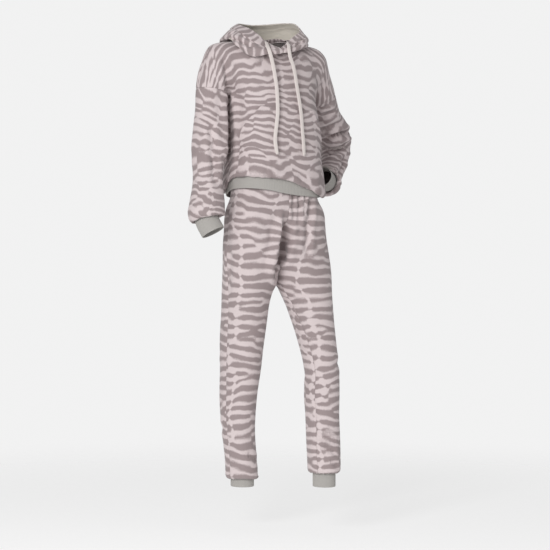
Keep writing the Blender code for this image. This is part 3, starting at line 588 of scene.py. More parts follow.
def sleeve_grid(side):
    """Rings from the armhole to the cuff seam, the last ones curling under the puff. Columns start at the
    armpit and go round by the front."""
    turns = np.linspace(0, 360, 2 * YOKE_ROWS + 1)[:-1]
    hole = armhole(side, turns)
    arm = ARMS[side]
    at_hole, at_puff, at_end = arm_line(arm)[1][[HOLE_KNOT, PUFF_KNOT, PUFF_KNOT + 1]]
    centres, radii = arm_path(arm, ARM_STATIONS, at_hole, at_end)
    inwards, fronts = ring_frames(centres, side)
    length = np.linspace(at_hole, at_end, ARM_STATIONS)
    angle = np.radians(turns)
    cuff = arm["radius"][-1]

    def ring(at, radius):
        at = np.array([at])
        centre, inward, front = (smooth(length, line, at)[0] for line in (centres, inwards, fronts))
        spoke = np.cos(angle)[:, None] * unit(inward) + np.sin(angle)[:, None] * unit(front)
        return centre + spoke * radius[:, None]

    spread = norm(hole - ring(at_hole, 0 * angle), axis=1)
    rings = [hole]
    for at in np.linspace(at_hole, at_puff - PUFF_DEPTH, SLEEVE_RINGS)[1:]:
        plain = smooth(length, radii, np.array([at]))[0]
        settle = 1 - ease((at - at_hole) / SHOULDER_REACH)
        rings.append(ring(at, plain + (spread - radii[0]) * settle))
    for stand, past in CUFF_LIP:
        rings.append(ring(at_puff + past, cuff + stand + 0 * angle))
    cuff_rings = []
    for at in np.linspace(at_puff - CUFF_TUCK, at_puff - CUFF_TUCK + CUFF_LENGTH, RIB_ROWS):
        cuff_rings.append(ring(min(at, at_end), cuff + 0 * angle))
    return refined(np.stack(rings), 0, SLEEVE_ROWS), np.stack(cuff_rings)


def hood_grid(side, first_share, last_share, rows):
    """Half of the hood: rows from the middle of the back to the front, columns along the section."""
    turn = np.linspace(0, 180, HOOD_TURNS)
    share = np.linspace(first_share, last_share, rows)
    hood = HOOD_RIGHT if side < 0 else HOOD_LEFT
    columns = np.stack([read(hood, name, turn, "turn") for name in HOOD_NAMES.split()[1:]])
    radius, height = (smooth(HOOD_SHARES, columns[part::2], share).T for part in (0, 1))
    angle = np.radians(turn)[:, None]
    return np.stack([side * radius * np.sin(angle), radius * np.cos(angle), height], axis=-1)


def leg_panel(side, facing):
    """One leg panel: rows from the waist seam to the ankle seam, columns from the middle seam or inseam to
    the outseam."""
    leg = LEGS[side]
    rise = RISE_FRONT if facing < 0 else RISE_BACK
    mid_x, mid_y, half_x, half_y, top, droop = ANKLES[side].values()
    across = np.linspace(0, 1, LEG_COLUMNS + 1)
    upper = np.linspace(WAIST_SEAM, CROTCH_DROP, RISE_ROWS + 1)[:-1]
    drop = np.concatenate([upper, np.linspace(CROTCH_DROP, droop - 0.010, LEG_ROWS)])[:, None]
    middle_turn, left_turn = (270, 360) if facing < 0 else (90, 0)
    outer_turn = 180 if side < 0 else left_turn
    hip_turn = middle_turn + (outer_turn - middle_turn) * across
    hips = section_point(hip_turn, drop, *sizes_at(HIPS, drop), square=HIP_SQUARENESS)
    from_turn = (left_turn if side < 0 else 180) + side * read(leg, "inseam", drop)
    to_turn = outer_turn - side * read(leg, "outseam", drop)
    turn = from_turn + (to_turn - from_turn) * across
    thigh = section_point(turn, drop, *sizes_at(leg, drop))
    grid = hips + (thigh - hips) * ease((drop - THIGH_FROM) / (CROTCH_DROP - THIGH_FROM))[..., None]
    above = np.minimum(drop[:, 0], CROTCH_DROP)
    seam = np.stack([read(rise, "x", above), read(rise, "y", above), -above], axis=1)
    pull = seam - grid[:, 0]
    below = drop[:, 0] > CROTCH_DROP
    crotch = np.argmin(np.abs(drop[:, 0] - CROTCH_DROP))
    pull[below] = pull[crotch] * (1 - ease((drop[below] - CROTCH_DROP) / np.array(CROTCH_REACH)))
    fade = 1 - ease(across / RISE_SHARE)
    grid = grid + pull[:, None, :] * fade[:, None]
    lip = []
    for stand, below in (*ANKLE_LIP, (ANKLE_CLEARANCE, top - droop)):
        lip.append(section_point(turn[-1], droop + below, mid_x, mid_y, half_x + stand, half_y + stand))
    lip = lip_rows(grid, lip)
    return np.concatenate([grid, lip[1:]])


# ---- Folds, seams and gathers: how far the cloth stands off its plain form ----

# Folds, in millimetres, by the azimuth round the wearer from which each is laid on the cloth: half-width,
# height (below zero for a trough), and the points of its route, each across and up on an upright pane
# through the origin.
HOODIE_FOLDS = {-27: (
    (7.5, -10, -136, -20, -127, -50, -121, -80, -120, -140),
    (9.5, -24, -119, -110, -115, -180, -112, -260, -115, -330, -124, -372),
    (12, 9, -127, -130, -126, -190, -124, -260, -128, -360),
    (10, 8, -99, -130, -96, -190, -93, -260, -97, -330, -108, -378),
    (11, -9.5, -170, -210, -164, -300, -159, -367, -151, -422, -139, -444),
    (7.5, -6, -163, -290, -150, -313, -139, -330), (7.5, -6, -160, -345, -148, -372, -136, -392),
    (9, -24, 172, -292, 196, -281, 224, -272, 270, -266),
    (9, -10, 176, -338, 200, -328, 224, -316, 252, -306),
    (9, -10, 246, -336, 244, -356, 236, -378, 222, -402), (8.5, -8.5, 168, -226, 190, -212, 218, -203),
    (8.5, -8.5, 165, -263, 196, -247, 240, -236), (6.5, 3, 214, -145, 190, -166, 168, -192),
    (7, 4, 182, -312, 206, -302, 230, -294, 256, -288), (11, -5, 95, -395, 125, -425, 160, -452),
    (12, -3.5, -95, -360, -40, -385, 30, -388),
), 63: (
    (9, -6, 225, -262, 268, -278, 318, -290), (9, -5, 200, -335, 250, -326, 305, -330),
    (11, -4, 60, -90, 90, -160, 105, -230),
), -117: (
    (11, -5, 80, -190, 92, -290, 98, -400), (9, -4, 110, -330, 85, -372, 70, -405),
), 153: (
    (11, -5, 165, -130, 125, -185, 75, -245), (11, -5, -140, -140, -105, -200, -55, -255),
    (12, -4, 115, -345, 40, -372, -40, -366), (12, -3.5, 55, -300, -20, -318, -85, -298),
    (9, -6, -262, -285, -232, -300, -195, -318), (9, -5, -250, -335, -225, -338, -190, -345),
    (10, -5, 170, -200, 165, -320, 175, -420),
)}
HOOD_FOLDS = {-27: (
    (4.5, -5, -88, 46, -66, 29, -45, 14, -24, 2), (6, -4, -126, 30, -108, 40, -94, 47),
    (5, -8, -122, 32, -100, 23, -78, 13, -52, 2, -34, -7), (5.5, 3, -118, 18, -92, 7, -62, -8, -40, -24),
    (5, -6.5, 80, -4, 100, 6, 116, 14, 128, 16), (4.5, -5, 100, 34, 94, 24, 88, 12),
    (4.5, -4, 112, 28, 108, 18, 104, 10),
), 63: (
    (8, -4, -60, 20, 10, 24, 80, 12),
), 153: (
    (10, -5, -110, 10, -60, -30, -10, -60), (10, -4.5, 100, 14, 70, -20, 30, -45),
    (9, -4, -60, 30, 10, 18, 80, 30),
), -117: (
    (8, -4, -80, 14, -20, 22, 50, 10),
)}
JOGGER_FOLDS = {-27: (
    (5.5, -8, 86, -440, 86, -490, 87, -520, 83, -556), (5.5, -8, 101, -440, 103, -500, 101, -530, 98, -566),
    (9, -12, 140, -440, 136, -500, 127, -600, 122, -664), (5, -5.5, 119, -440, 119, -490, 116, -530),
    (15, -34, 70, -530, 59, -590, 46, -650, 37, -724), (9, 11, 50, -500, 36, -570, 22, -640, 15, -700),
    (9, -8, 62, -602, 90, -585, 118, -564), (8, -5.5, 49, -652, 90, -645, 123, -654, 146, -646),
    (8, -7.5, 152, -1196, 186, -1210, 220, -1224), (8, -8.5, 160, -1250, 192, -1240, 224, -1262),
    (7, -6, 196, -1276, 210, -1284, 226, -1296), (8, -6, -60, -1255, -42, -1266, -26, -1280),
    (10, -4, -118, -585, -112, -680, -118, -790), (9, -3, -30, -520, 10, -560, 36, -640),
), 153: (
    (11, -7, 40, -712, 80, -704, 135, -682), (11, -7, 10, -716, -40, -706, -95, -684),
    (6, -4.5, 60, -450, 58, -500, 62, -560), (6, -4.5, 92, -450, 94, -510, 90, -580),
    (6, -4.5, -20, -450, -24, -505, -20, -552), (6.5, -4.5, -66, -450, -64, -520, -70, -600),
    (10, -5, 75, -945, 110, -952, 160, -938), (10, -5, -180, -1006, -145, -1014, -105, -1000),
    (9, -4.5, 70, -1180, 100, -1196, 135, -1182), (9, -4.5, -210, -1200, -175, -1216, -145, -1204),
), 63: (
    (7, -4.5, 60, -450, 58, -520, 52, -600), (6, -4, 88, -450, 90, -500, 84, -560),
    (9, -4, -110, -1000, -70, -985, -30, -1000),
), -117: (
    (7, -4, 20, -450, 24, -520, 20, -590), (9, -4, -10, -1180, 30, -1190, 60, -1176),
)}


def seen(points, azimuth):
    """Where points lie on an upright pane through the origin, across and up, for an eye level with the hips
    that stands off at an azimuth round the wearer, and how near that eye they are."""
    turn = math.radians(azimuth)
    near = points[..., 0] * math.sin(turn) - points[..., 1] * math.cos(turn)
    scale = EYE_AWAY / (EYE_AWAY - near)
    across = (points[..., 0] * math.cos(turn) + points[..., 1] * math.sin(turn)) * scale
    return across, EYE_HEIGHT + (points[..., 2] - EYE_HEIGHT) * scale, near


def lay_fold(cloud, normals, azimuth, route):
    """A fold's route laid on the cloth: each of its points goes to the nearest face behind it."""
    steps = lengths(route)
    path = smooth(steps, route, np.linspace(0, steps[-1], SPINE_POINTS))
    across, up, near = seen(cloud, azimuth)
    turn = math.radians(azimuth)
    faces = normals[:, 0] * math.sin(turn) - normals[:, 1] * math.cos(turn)
    hidden = np.where(faces > 0.0, 0.0, 1.0)
    off = np.hypot(path[:, :1] - across, path[:, 1:] - up)
    pick = (off + np.where(off < FOLD_CATCH, -0.05 * near, 0.5) + hidden).argmin(axis=1)
    return cloud[pick], normals[pick]


def lay_folds(cloud, normals, folds):
    """Half-width, height, points and normals of each fold, in metres."""
    laid = []
    for azimuth, group in folds.items():
        for width, height, *route in group:
            spine = lay_fold(cloud, normals, azimuth, np.reshape(route, (-1, 2)) / 1000)
            laid.append((width / 1000, height / 1000, *spine))
    return laid


def fold_heights(points, normals, laid):
    """Sum of the folds at some points: each is a soft trough or ridge along its line, fading at both ends,
    with a low swell on either side of it."""
    heights = np.zeros(len(points))
    share = np.linspace(0, 1, SPINE_POINTS)
    for width, height, places, ways in laid:
        near = norm(points - places.mean(axis=0), axis=1)
        reach = norm(places - places.mean(axis=0), axis=1).max() + FOLD_REACH * width
        chosen = np.nonzero(near < reach)[0]
        away = np.full(len(chosen), 9.0)
        along = np.zeros(len(chosen))
        for place, way, at in zip(places, ways, share):
            distance = norm(points[chosen] - place, axis=1) + 0.02 * (normals[chosen] @ way < 0.2)
            closer = distance < away
            away[closer] = distance[closer]
            along[closer] = at
        fade = ease(np.minimum(along, 1 - along) / FOLD_FADE + 0.10)
        swell = FOLD_SWELL * np.exp(-(((away - FOLD_SWELL_AWAY * width) / width) ** 2))
        heights[chosen] += height * fade * (np.exp(-((away / width) ** 2)) - swell)
    return heights


def soft_waves(points, size, seed):
    """Low uneven swells all over the cloth: a sum of sines in seeded directions."""
    draw = np.random.default_rng(seed)
    total = np.zeros(len(points))
    for wave in range(WAVES):
        way = unit(draw.normal(size=3) * [1.0, 1.0, 0.55])
        length = 0.070 + 0.022 * wave
        total += np.sin(points @ way * math.tau / length + draw.uniform(0, math.tau)) * (0.5 + 0.07 * wave)
    return total * size / 3


def gathers(turn, away, count, height, reach):
    """Small uneven pleats that run from a gathered seam and fade with the distance from it."""
    phase = count * turn + 2.1 * np.sin(3 * turn + 0.7) + 1.3 * np.sin(7 * turn + 2.0)
    size = 0.65 + 0.35 * np.sin(2 * turn + 1.1) + 0.25 * np.sin(5 * turn)
    return height * size * np.cos(phase) * np.exp(-((away / reach) ** 2))


def loosened(dips, turn, run, gather, reach, more=0.0):
    """How far a panel is lifted by its dipped seams and its gathers, and how free it is to fold. Both are
    nothing at its tucked edge."""
    free = ease(run / reach)
    return (dips + gathers(turn, run, *gather) + more) * free, free


def column_run(grid, from_end=False):
    """Distance along each column from its first row, or from its last."""
    steps = norm(np.diff(grid, axis=0), axis=-1)
    run = np.concatenate([np.zeros((1, grid.shape[1])), np.cumsum(steps, axis=0)])
    return run[-1] - run if from_end else run


def row_run(grid, from_end=False):
    """Distance along each row from its first column, or from its last."""
    return column_run(grid.swapaxes(0, 1), from_end).T


def edge_distance(grid, wraps):
    """Distance from each point to the nearest edge of its panel, along rows and columns."""
    runs = [column_run(grid), column_run(grid, True)]
    if not wraps:
        runs += [row_run(grid), row_run(grid, True)]
    return np.min(runs, axis=0)


def seam_dip(distance):
    return -SEAM_DIP * np.exp(-((distance / SEAM_WIDTH) ** 2))


def looped(grid, wraps=True):
    """A grid, with its first column again after its last if it runs round a tube."""
    return np.concatenate([grid, grid[:, :1]], axis=1) if wraps else grid


def cut_map(grid, wraps):
    """The flat cut's coordinates in metres: across from the middle column, and along from the first row at
    the rows' mean spacing."""
    grid = looped(grid, wraps)
    u = row_run(grid)
    v = column_run(grid).mean(axis=1, keepdims=True) + 0 * u
    return np.stack([u - u[:, u.shape[1] // 2, None], v], axis=-1)


def cloth_area(grid):
    across = grid[:-1, 1:] - grid[:-1, :-1]
    down = grid[1:, :-1] - grid[:-1, :-1]
    return float(norm(np.cross(across, down), axis=-1).sum())


# ---- Walls of cloth ----


def outward_order(grid, inside=None):
    """The grid with its columns in the order that makes its faces point away from a point inside, or from
    the middles of its rows."""
    across = np.gradient(grid, axis=1)
    down = np.gradient(grid, axis=0)
    away = grid - (grid.mean(axis=1, keepdims=True) if inside is None else inside)
    if np.sum(np.cross(across, down) * away) < 0:
        return grid[:, ::-1]
    return grid


def quads(spot):
    """Faces over a grid of indices, as rows of four."""
    return np.stack([spot[:-1, :-1], spot[:-1, 1:], spot[1:, 1:], spot[1:, :-1]], axis=-1).reshape(-1, 4)


def indices(grid, wraps, first=0):
    """The index of each point of a grid."""
    return looped(first + np.arange(grid.shape[0] * grid.shape[1]).reshape(grid.shape[:2]), wraps)


def seam_normals(grids, closed):
    """Outward normals of several grids, shared where their points coincide."""
    corners = np.concatenate([grid.reshape(-1, 3) for grid in grids])
    starts = np.cumsum([0] + [grid.shape[0] * grid.shape[1] for grid in grids])
    faces = [quads(indices(*group)) for group in zip(grids, closed, starts)]
    triangles = np.concatenate([part[:, pick] for part in faces for pick in ([0, 1, 2], [0, 2, 3])])
    _, place = np.unique(np.round(corners, 5), axis=0, return_inverse=True)
    place = place.reshape(-1)
    first, second, third = corners[triangles].swapaxes(0, 1)
    ways = np.cross(second - first, third - first)
    sums = np.zeros((place.max() + 1, 3))
    for corner in range(3):
        np.add.at(sums, place[triangles[:, corner]], ways)
    parts = np.split(unit(sums[place]), starts[1:-1])
    return [part.reshape(grid.shape) for part, grid in zip(parts, grids)]


def wall_faces(spot, back, wraps):
    """Outer face, rims and inner face of a wall, from the index grids of its two sides."""
    rims = [np.stack([spot[0], back[0]])[:, ::-1], np.stack([spot[-1], back[-1]])]
    if not wraps:
        rims += [np.stack([spot[:, 0], back[:, 0]]), np.stack([spot[:, -1], back[:, -1]])[:, ::-1]]
    return [quads(spot), np.concatenate([quads(rim) for rim in rims]), quads(back)[:, ::-1]]


def with_edge_rows(grid):
    """The grid with two more rows close to its first row and two close to its last."""
    shares = np.array([0.1, 0.4])[:, None, None]
    first = grid[0] + (grid[1] - grid[0]) * shares
    last = grid[-1] + (grid[-2] - grid[-1]) * shares[::-1]
    return np.concatenate([grid[:1], first, grid[1:-1], last, grid[-1:]])


def edged(grid, wraps):
    grid = with_edge_rows(grid)
    return grid if wraps else with_edge_rows(grid.swapaxes(0, 1)).swapaxes(0, 1)


def placed(name, data):
    """A new object in the scene."""
    made = bpy.data.objects.new(name, data)
    bpy.context.scene.collection.objects.link(made)
    return made


def add_piece(mesh, cad, finishes):
    mesh.shade_smooth()
    for finish in finishes:
        mesh.materials.append(finish)
    piece = placed(mesh.name, mesh)
    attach(piece, "root")
    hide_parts(cad)
    return piece


def make_cloth(cad, slot, plain, outer, thickness, wraps, finishes, normals=None, start=0):
    """A closed wall of cloth in one piece, round at its edges. The cut is measured on the plain grid, from
    its start row; the wall's outer face is the outer grid, and its normals are that grid's own unless given;
    the finishes are those of its outer and its inner side."""
    if normals is None:
        normals = seam_normals([outer], [wraps])[0]
    name = cad.removeprefix("kangaroo_") + ("_cloth" if slot == "plush" else "_knit")
    cut = cut_map(plain, wraps)
    outer, normals = edged(outer, wraps), unit(edged(normals, wraps))
    uv = edged(cut - [0, cut[start, 0, 1]] + CUT_PLACES.get(cad, (0, 0)), wraps)
    edge = np.minimum(edge_distance(outer, wraps) / (thickness / 2), 1)
    half = thickness / 2 * np.sqrt(1 - EDGE_ROUNDING * (1 - edge) ** 2)[..., None]
    middle = outer - normals * thickness / 2
    points = np.stack([middle + normals * half, middle - normals * half]).reshape(-1, 3)
    spot, place = indices(outer, wraps), indices(uv, False)
    faces = wall_faces(spot, spot + len(points) // 2, wraps)
    places = np.concatenate(wall_faces(place, place, wraps))
    mesh = bpy.data.meshes.new(name)
    mesh.from_pydata(points.tolist(), [], np.concatenate(faces).tolist())
    layer = mesh.uv_layers.new(name=CUT)
    layer.data.foreach_set("uv", uv.reshape(-1, 2)[places.reshape(-1)].reshape(-1).astype("f"))
    mesh.polygons.foreach_set("material_index", np.repeat([0, 0, 1], [len(part) for part in faces]))
    piece = add_piece(mesh, cad, finishes)
    area = cloth_area(looped(plain, wraps))


def make_panels(names, grids, wraps, folds, swell, seed, extras, finishes, start=0):
    """Panels of plush with their folds, swells, gathers and dipped seams. The extras are, for each panel, how
    far it is lifted and how free it is to fold. Gives the outer faces and their normals."""
    normals = seam_normals(grids, wraps)
    cloud, ways = (np.concatenate([part.reshape(-1, 3) for part in parts]) for parts in (grids, normals))
    laid = lay_folds(cloud, ways, folds)
    made = []
    for grid, way, (lift, free) in zip(grids, normals, extras):
        flat = grid.reshape(-1, 3)
        height = fold_heights(flat, way.reshape(-1, 3), laid) + soft_waves(flat, swell, seed)
        made.append(grid + way * (lift + height.reshape(lift.shape) * free)[..., None])
    normals = seam_normals(made, wraps)
    for name, grid, outer, way, closed in zip(names, grids, made, normals, wraps):
        ply = CASING if name == "hood_casing" else PLUSH
        make_cloth(name, "plush", grid, outer, ply, closed, finishes, way, 0 if closed else start)
    return made, normals


# ---- Finishes ----


def node(tree, kind, **settings):
    made = tree.nodes.new("ShaderNode" + kind)
    for name, value in settings.items():
        setattr(made, name, value)
    return made


def wired(tree, made, **inputs):
    """Set a node's inputs, by name or as _ and their index: a socket is linked, anything else is a value."""
    for name, value in inputs.items():
        socket = made.inputs[int(name[1:])] if name[1:].isdigit() else made.inputs[name.replace("_", " ")]
        if isinstance(value, bpy.types.NodeSocket):
            tree.links.new(value, socket)
        else:
            socket.default_value = value
    return made


def maths(tree, operation, first, second=0.0, kind="Math"):
    return wired(tree, node(tree, kind, operation=operation), _0=first, _1=second).outputs[0]


def vector_maths(tree, operation, first, second):
    return maths(tree, operation, first, second, "VectorMath")


def noise(tree, vector, scale, detail=2.0, output="Fac"):
    made = wired(tree, node(tree, "TexNoise"), Vector=vector, Scale=scale, Detail=detail)
    return made.outputs[output]


def ramp(tree, value, low, high, first=0.0, last=1.0, run="SMOOTHSTEP"):
    """A value from low to high turned into one from first to last."""
    made = node(tree, "MapRange", interpolation_type=run)
    return wired(tree, made, Value=value, _1=low, _2=high, _3=first, _4=last).outputs[0]


def blend_colours(tree, share, first, second, kind="MIX"):
    made = node(tree, "Mix", data_type="RGBA", blend_type=kind)
    return wired(tree, made, _0=share, _6=first, _7=second).outputs[2]


def blend_shaders(tree, share, first, second, output):
    """Two shaders mixed by a share and sent to an output node."""
    mix = wired(tree, node(tree, "MixShader"), _0=share, _1=first, _2=second)
    wired(tree, tree.nodes[output], _0=mix.outputs[0])


def finish(name, rough, sheen):
    """A cloth material with its nodes, its links and its shader."""
    material = bpy.data.materials.new(name)
    material.use_nodes = True
    tree = material.node_tree
    shader = wired(tree, tree.nodes["Principled BSDF"], Roughness=rough, Specular_IOR_Level=SPECULAR,
                   Sheen_Weight=sheen, Sheen_Roughness=SHEEN_ROUGHNESS)
    return material, tree, shader


def nap(tree, shader, vector, scale, height):
    """A fine uneven pile: two scales of noise as bump. Gives the fine noise, which the finishes also use for
    the pile's painted shade.
    """
    fine = noise(tree, vector, scale, 3.0)
    coarse = noise(tree, vector, scale / 5, 2.0)
    total = maths(tree, "ADD", fine, maths(tree, "MULTIPLY", coarse, 0.8))
    bump = wired(tree, node(tree, "Bump"), Strength=NAP_STRENGTH, Distance=height, Height=total)
    wired(tree, shader, Normal=bump.outputs[0])
    return fine


def drifted(tree, flat, scale, reach):
    """The flat cut's coordinates, each moved by up to half the reach either way by a noise."""
    drift = vector_maths(tree, "SUBTRACT", noise(tree, flat, scale, 1.5, "Color"), (0.5, 0.5, 0.5))
    return vector_maths(tree, "ADD", flat, vector_maths(tree, "MULTIPLY", drift, (reach, reach, 0)))


def uneven(tree, share, size):
    """A noise from 0 to 1 turned into one round 0 of some size."""
    return maths(tree, "MULTIPLY", maths(tree, "SUBTRACT", share, 0.5), size)


def zebra_finish(name, spacing, bend, evenness, dark_share, unevenness, spine_gap, spine_depth):
    """Plush printed with soft-edged stripes across the cut: they fork, hook, taper and end unevenly, and
    many of them end at wandering spines that run along the cut."""
    material, tree, shader = finish(name, 0.95, PLUSH_SHEEN)
    flat = node(tree, "UVMap", uv_map=CUT).outputs[0]
    bent = drifted(tree, drifted(tree, flat, 5.5, bend), 24.0, 0.014)
    stripes = wired(tree, node(tree, "TexGabor", gabor_type="2D"), Vector=bent, Scale=10.0,
                    Frequency=0.1 / spacing, Anisotropy=evenness)
    stripes.inputs["Orientation"].default_value = math.pi / 2
    wave = maths(tree, "ABSOLUTE", maths(tree, "SUBTRACT", stripes.outputs["Phase"], 0.5))
    wave = maths(tree, "SUBTRACT", maths(tree, "MULTIPLY", wave, 2.0), 0.5)
    wave = maths(tree, "MULTIPLY", wave, ramp(tree, stripes.outputs["Intensity"], 0.01, 0.11))
    wave = maths(tree, "ADD", wave, 0.5)
    patchy = noise(tree, vector_maths(tree, "MULTIPLY", bent, (9.0, 34.0, 1.0)), 1.0, 1.0)
    fuzz = uneven(tree, noise(tree, flat, 260.0, 2.0), 0.45)
    across = wired(tree, node(tree, "SeparateXYZ"), Vector=drifted(tree, flat, 9.0, 0.12)).outputs[0]
    spine = ramp(tree, maths(tree, "PINGPONG", across, spine_gap / 2), 0.001, 0.011, -spine_depth, 0.0)
    level = maths(tree, "ADD", maths(tree, "ADD", uneven(tree, patchy, unevenness), fuzz), dark_share)
    share = maths(tree, "SUBTRACT", wave, maths(tree, "ADD", level, spine))
    pile = nap(tree, shader, flat, 900.0, 0.0009)
    colour = blend_colours(tree, ramp(tree, share, -0.22, 0.22), (*PRINT_DARK, 1.0), (*PRINT_LIGHT, 1.0))
    # Painted shade: the print is darkened in the pile's troughs and lightened on its tips, following the bump
    shade = ramp(tree, pile, *PAINTED_PILE_SHADE, run="LINEAR")
    wired(tree, shader, Base_Color=blend_colours(tree, 1.0, colour, shade, "MULTIPLY"))
    return material


def plain_finish(name, colour, scale, height, sheen):
    """Plain cloth with a fine uneven surface, painted lighter on the pile's tips and darker in its troughs.
    """
    material, tree, shader = finish(name, 0.9, sheen)
    fine = nap(tree, shader, node(tree, "TexCoord").outputs["Object"], scale, height)
    light = [min(1.0, part * PAINTED_PILE_TIP_LIGHT) for part in colour]
    dark = [part * PAINTED_PILE_TROUGH_SHADE for part in colour]
    wired(tree, shader, Base_Color=blend_colours(tree, fine, (*dark, 1.0), (*light, 1.0)))
    return material


# ---- Pieces ----


def stand(thing, azimuth, away, height, tilt=0.0):
    """Stand a camera or a lamp off at an azimuth round the wearer, turned to face them."""
    turn = math.radians(azimuth)
    thing.location = (away * math.sin(turn), -away * math.cos(turn), height)
    thing.rotation_euler = (math.pi / 2 - tilt, 0, turn)


def make_camera():
    data = bpy.data.cameras.new("camera")
    data.lens = LENS
    data.sensor_width = 36
    data.shift_x, data.shift_y = SHIFT
    camera = placed("camera", data)
    stand(camera, EYE_AZIMUTH, EYE_AWAY, EYE_HEIGHT)
    bpy.context.scene.camera = camera


def make_cord(cad, route, material):
    """A flat braid: a rounded oblong run along the route, its flat side away from the body, narrower at its
    tip and closed at both ends."""
    route = np.array(route)
    steps = lengths(route)
    at = np.linspace(0, steps[-1], CORD_RINGS)
    points = smooth(steps, route, at)
    tangents = unit(np.gradient(points, axis=0))
    outwards = np.stack([points[:, 0] * 0.3, points[:, 1], 0 * at], axis=1)
    outwards = unit(outwards - tangents * np.sum(outwards * tangents, axis=1, keepdims=True))
    across = np.cross(tangents, outwards)
    angle = np.linspace(0, math.tau, CORD_SIDES, endpoint=False)
    wide, deep = (np.sign(part) * np.abs(part) ** 0.75 for part in (np.cos(angle), np.sin(angle)))
    left = at[-1] - at
    closing = np.sqrt(1 - (1 - np.minimum(np.minimum(at, left) / CORD_ROUNDING, 1)) ** 2 * 0.95)
    width = CORD_WIDTH / 2 * (0.70 + 0.30 * ease(left / CORD_TAPER)) * closing
    grid = (points[:, None]
            + across[:, None] * (width[:, None] * wide)[..., None]
            + outwards[:, None] * (CORD_THICKNESS / 2 * closing[:, None] * deep)[..., None])
    spot = indices(grid, False)
    sides = quads(looped(spot))[:, ::-1]
    mesh = bpy.data.meshes.new(cad + "_braid")
    faces = [*sides.tolist(), spot[0].tolist(), spot[-1, ::-1].tolist()]
    mesh.from_pydata(grid.reshape(-1, 3).tolist(), [], faces)
    piece = add_piece(mesh, cad, [material])


def make_hoodie_body(plush, reverse, rib):
    grids = [outward_order(body_panel(-1)), outward_order(body_panel(1))]
    cuffs = []
    for side in ARMS:
        sleeve, cuff = sleeve_grid(side)
        grids.append(outward_order(sleeve))
        cuffs.append(cuff)
    wraps = [False, False, True, True]
    extras = []
    for grid in grids[:2]:
        dips = seam_dip(edge_distance(grid, False))
        lift, free = loosened(dips, turn_of(grid, BAND_MID_X), column_run(grid), HEM_GATHERS, FREE_AT_HEM)
        calm = ease((np.hypot(grid[..., 0], grid[..., 1]) - 0.07) / 0.09 - (grid[..., 2] + 0.02) * 8)
        extras.append((lift, free * (0.25 + 0.75 * calm)))
    for grid in grids[2:]:
        turn = np.linspace(0, math.tau, grid.shape[1], endpoint=False)[None]
        dips = seam_dip(np.minimum(column_run(grid), np.abs(row_run(grid))))
        extras.append(loosened(dips, turn, column_run(grid, True), CUFF_GATHERS, FREE_AT_HEM))
    names = ("hoodie_front", "hoodie_back", "sleeve_right", "sleeve_left")
    made, normals = make_panels(names, grids, wraps, HOODIE_FOLDS, SWELL, HOODIE_SEED, extras,
                                [plush, reverse], LIP_ROWS)
    for name, cuff in zip(("cuff_right", "cuff_left"), cuffs):
        make_rib(name, cuff, CUFF_RIBS, rib)
    make_pocket(grids[0], made[0], normals[0], plush, reverse)


def make_rib(name, grid, ribs, rib):
    """A tube of ribbed knit: its columns are spread evenly and stand up as ribs along it."""
    wide = looped(outward_order(grid))
    share = np.linspace(0, 1, ribs * RIB_STEPS, endpoint=False)
    grid = smooth(np.linspace(0, 1, wide.shape[1]), wide.swapaxes(0, 1), share).swapaxes(0, 1)
    lift = RIB_HEIGHT * np.cos(share * ribs * math.tau)[None] * ease(edge_distance(grid, True) / RIB_FADE)
    outer = grid + seam_normals([grid], [True])[0] * lift[..., None]
    make_cloth(name, "rib", grid, outer, RIB, True, [rib, rib])


def make_pocket(plain, front, normals, plush, reverse):
    """A patch on the front: the front's own rows, folds and all, cut to the pocket's outline and moved out.
    Its lower edge goes under the drooping cloth, and its two slants stand open."""
    rows = slice(LIP_ROWS // 2, LIP_ROWS + BODY_ROWS)
    plain, front, normals = plain[rows], front[rows], normals[rows]
    drop = -plain[..., 2]
    turn = np.mod(np.degrees(turn_of(plain, *sizes_at(TORSO, drop))), 360)
    top = int(np.abs(drop.mean(axis=1) - POCKET_TOP).argmin())
    columns = np.arange(plain.shape[1])
    across = np.linspace(0, 1, POCKET_COLUMNS)
    sheets = []
    for row in range(top + 1):
        middle = drop[row].mean()
        right, left = read(POCKET, "right", middle), read(POCKET, "left", middle)
        inner = (turn[row] > 190) & (turn[row] < 350)
        order = turn[row][inner].argsort()
        at = np.interp(270 - right + (right + left) * across, turn[row][inner][order], columns[inner][order])
        sheets.append([smooth(columns, grid[row], at) for grid in (plain, front, normals)])
    grid, outer, normals = np.array(sheets).swapaxes(0, 1)
    edge = np.minimum(row_run(grid), row_run(grid, True))
    slant = np.clip((grid[..., 2] + POCKET_SLANT_END) / SLANT_EASE, 0, 1)
    slant = slant * np.exp(-((edge / SLANT_EASE) ** 2))
    outer = outer + normals * (PLUSH + POCKET_LIFT + POCKET_OPEN * slant)[..., None]
    make_cloth("kangaroo_pocket", "plush", grid, outer, PLUSH, False, [plush, reverse])


def make_hem_band(rib):
    turn = np.linspace(0, 360, 4 * HALF_COLUMNS, endpoint=False)
    bottom = hem_read("band_drop", turn)
    rings = [band_point(turn, bottom - BAND_HEIGHT * share) for share in np.linspace(0, 1, RIB_ROWS)]
    make_rib("hem_band", np.stack(rings), HEM_RIBS, rib)


def on_body(grid):
    """The hood's shell with each point that is too near the hoodie's form moved straight off it, its upper
    layer farther than its lower one, and its sections then made rounder."""
    share = np.linspace(0.0, HOOD_SHARES[-2], grid.shape[1])
    clearance = HOOD_CLEARANCE + HOOD_PLY * ease((share - HOOD_SHARES[2]) / HOOD_PLY_EASE)
    for _ in range(HOOD_PUSHES):
        gap = body_gap(grid)
        slope = slopes(body_gap, grid, gap, 2 * PROBE)
        grid = grid + unit(slope) * np.maximum(0.0, clearance - gap)[..., None]
    for _ in range(HOOD_SOFTENING):
        grid[:, 1:-1] = (grid[:, :-2] + 2 * grid[:, 1:-1] + grid[:, 2:]) / 4
    return grid


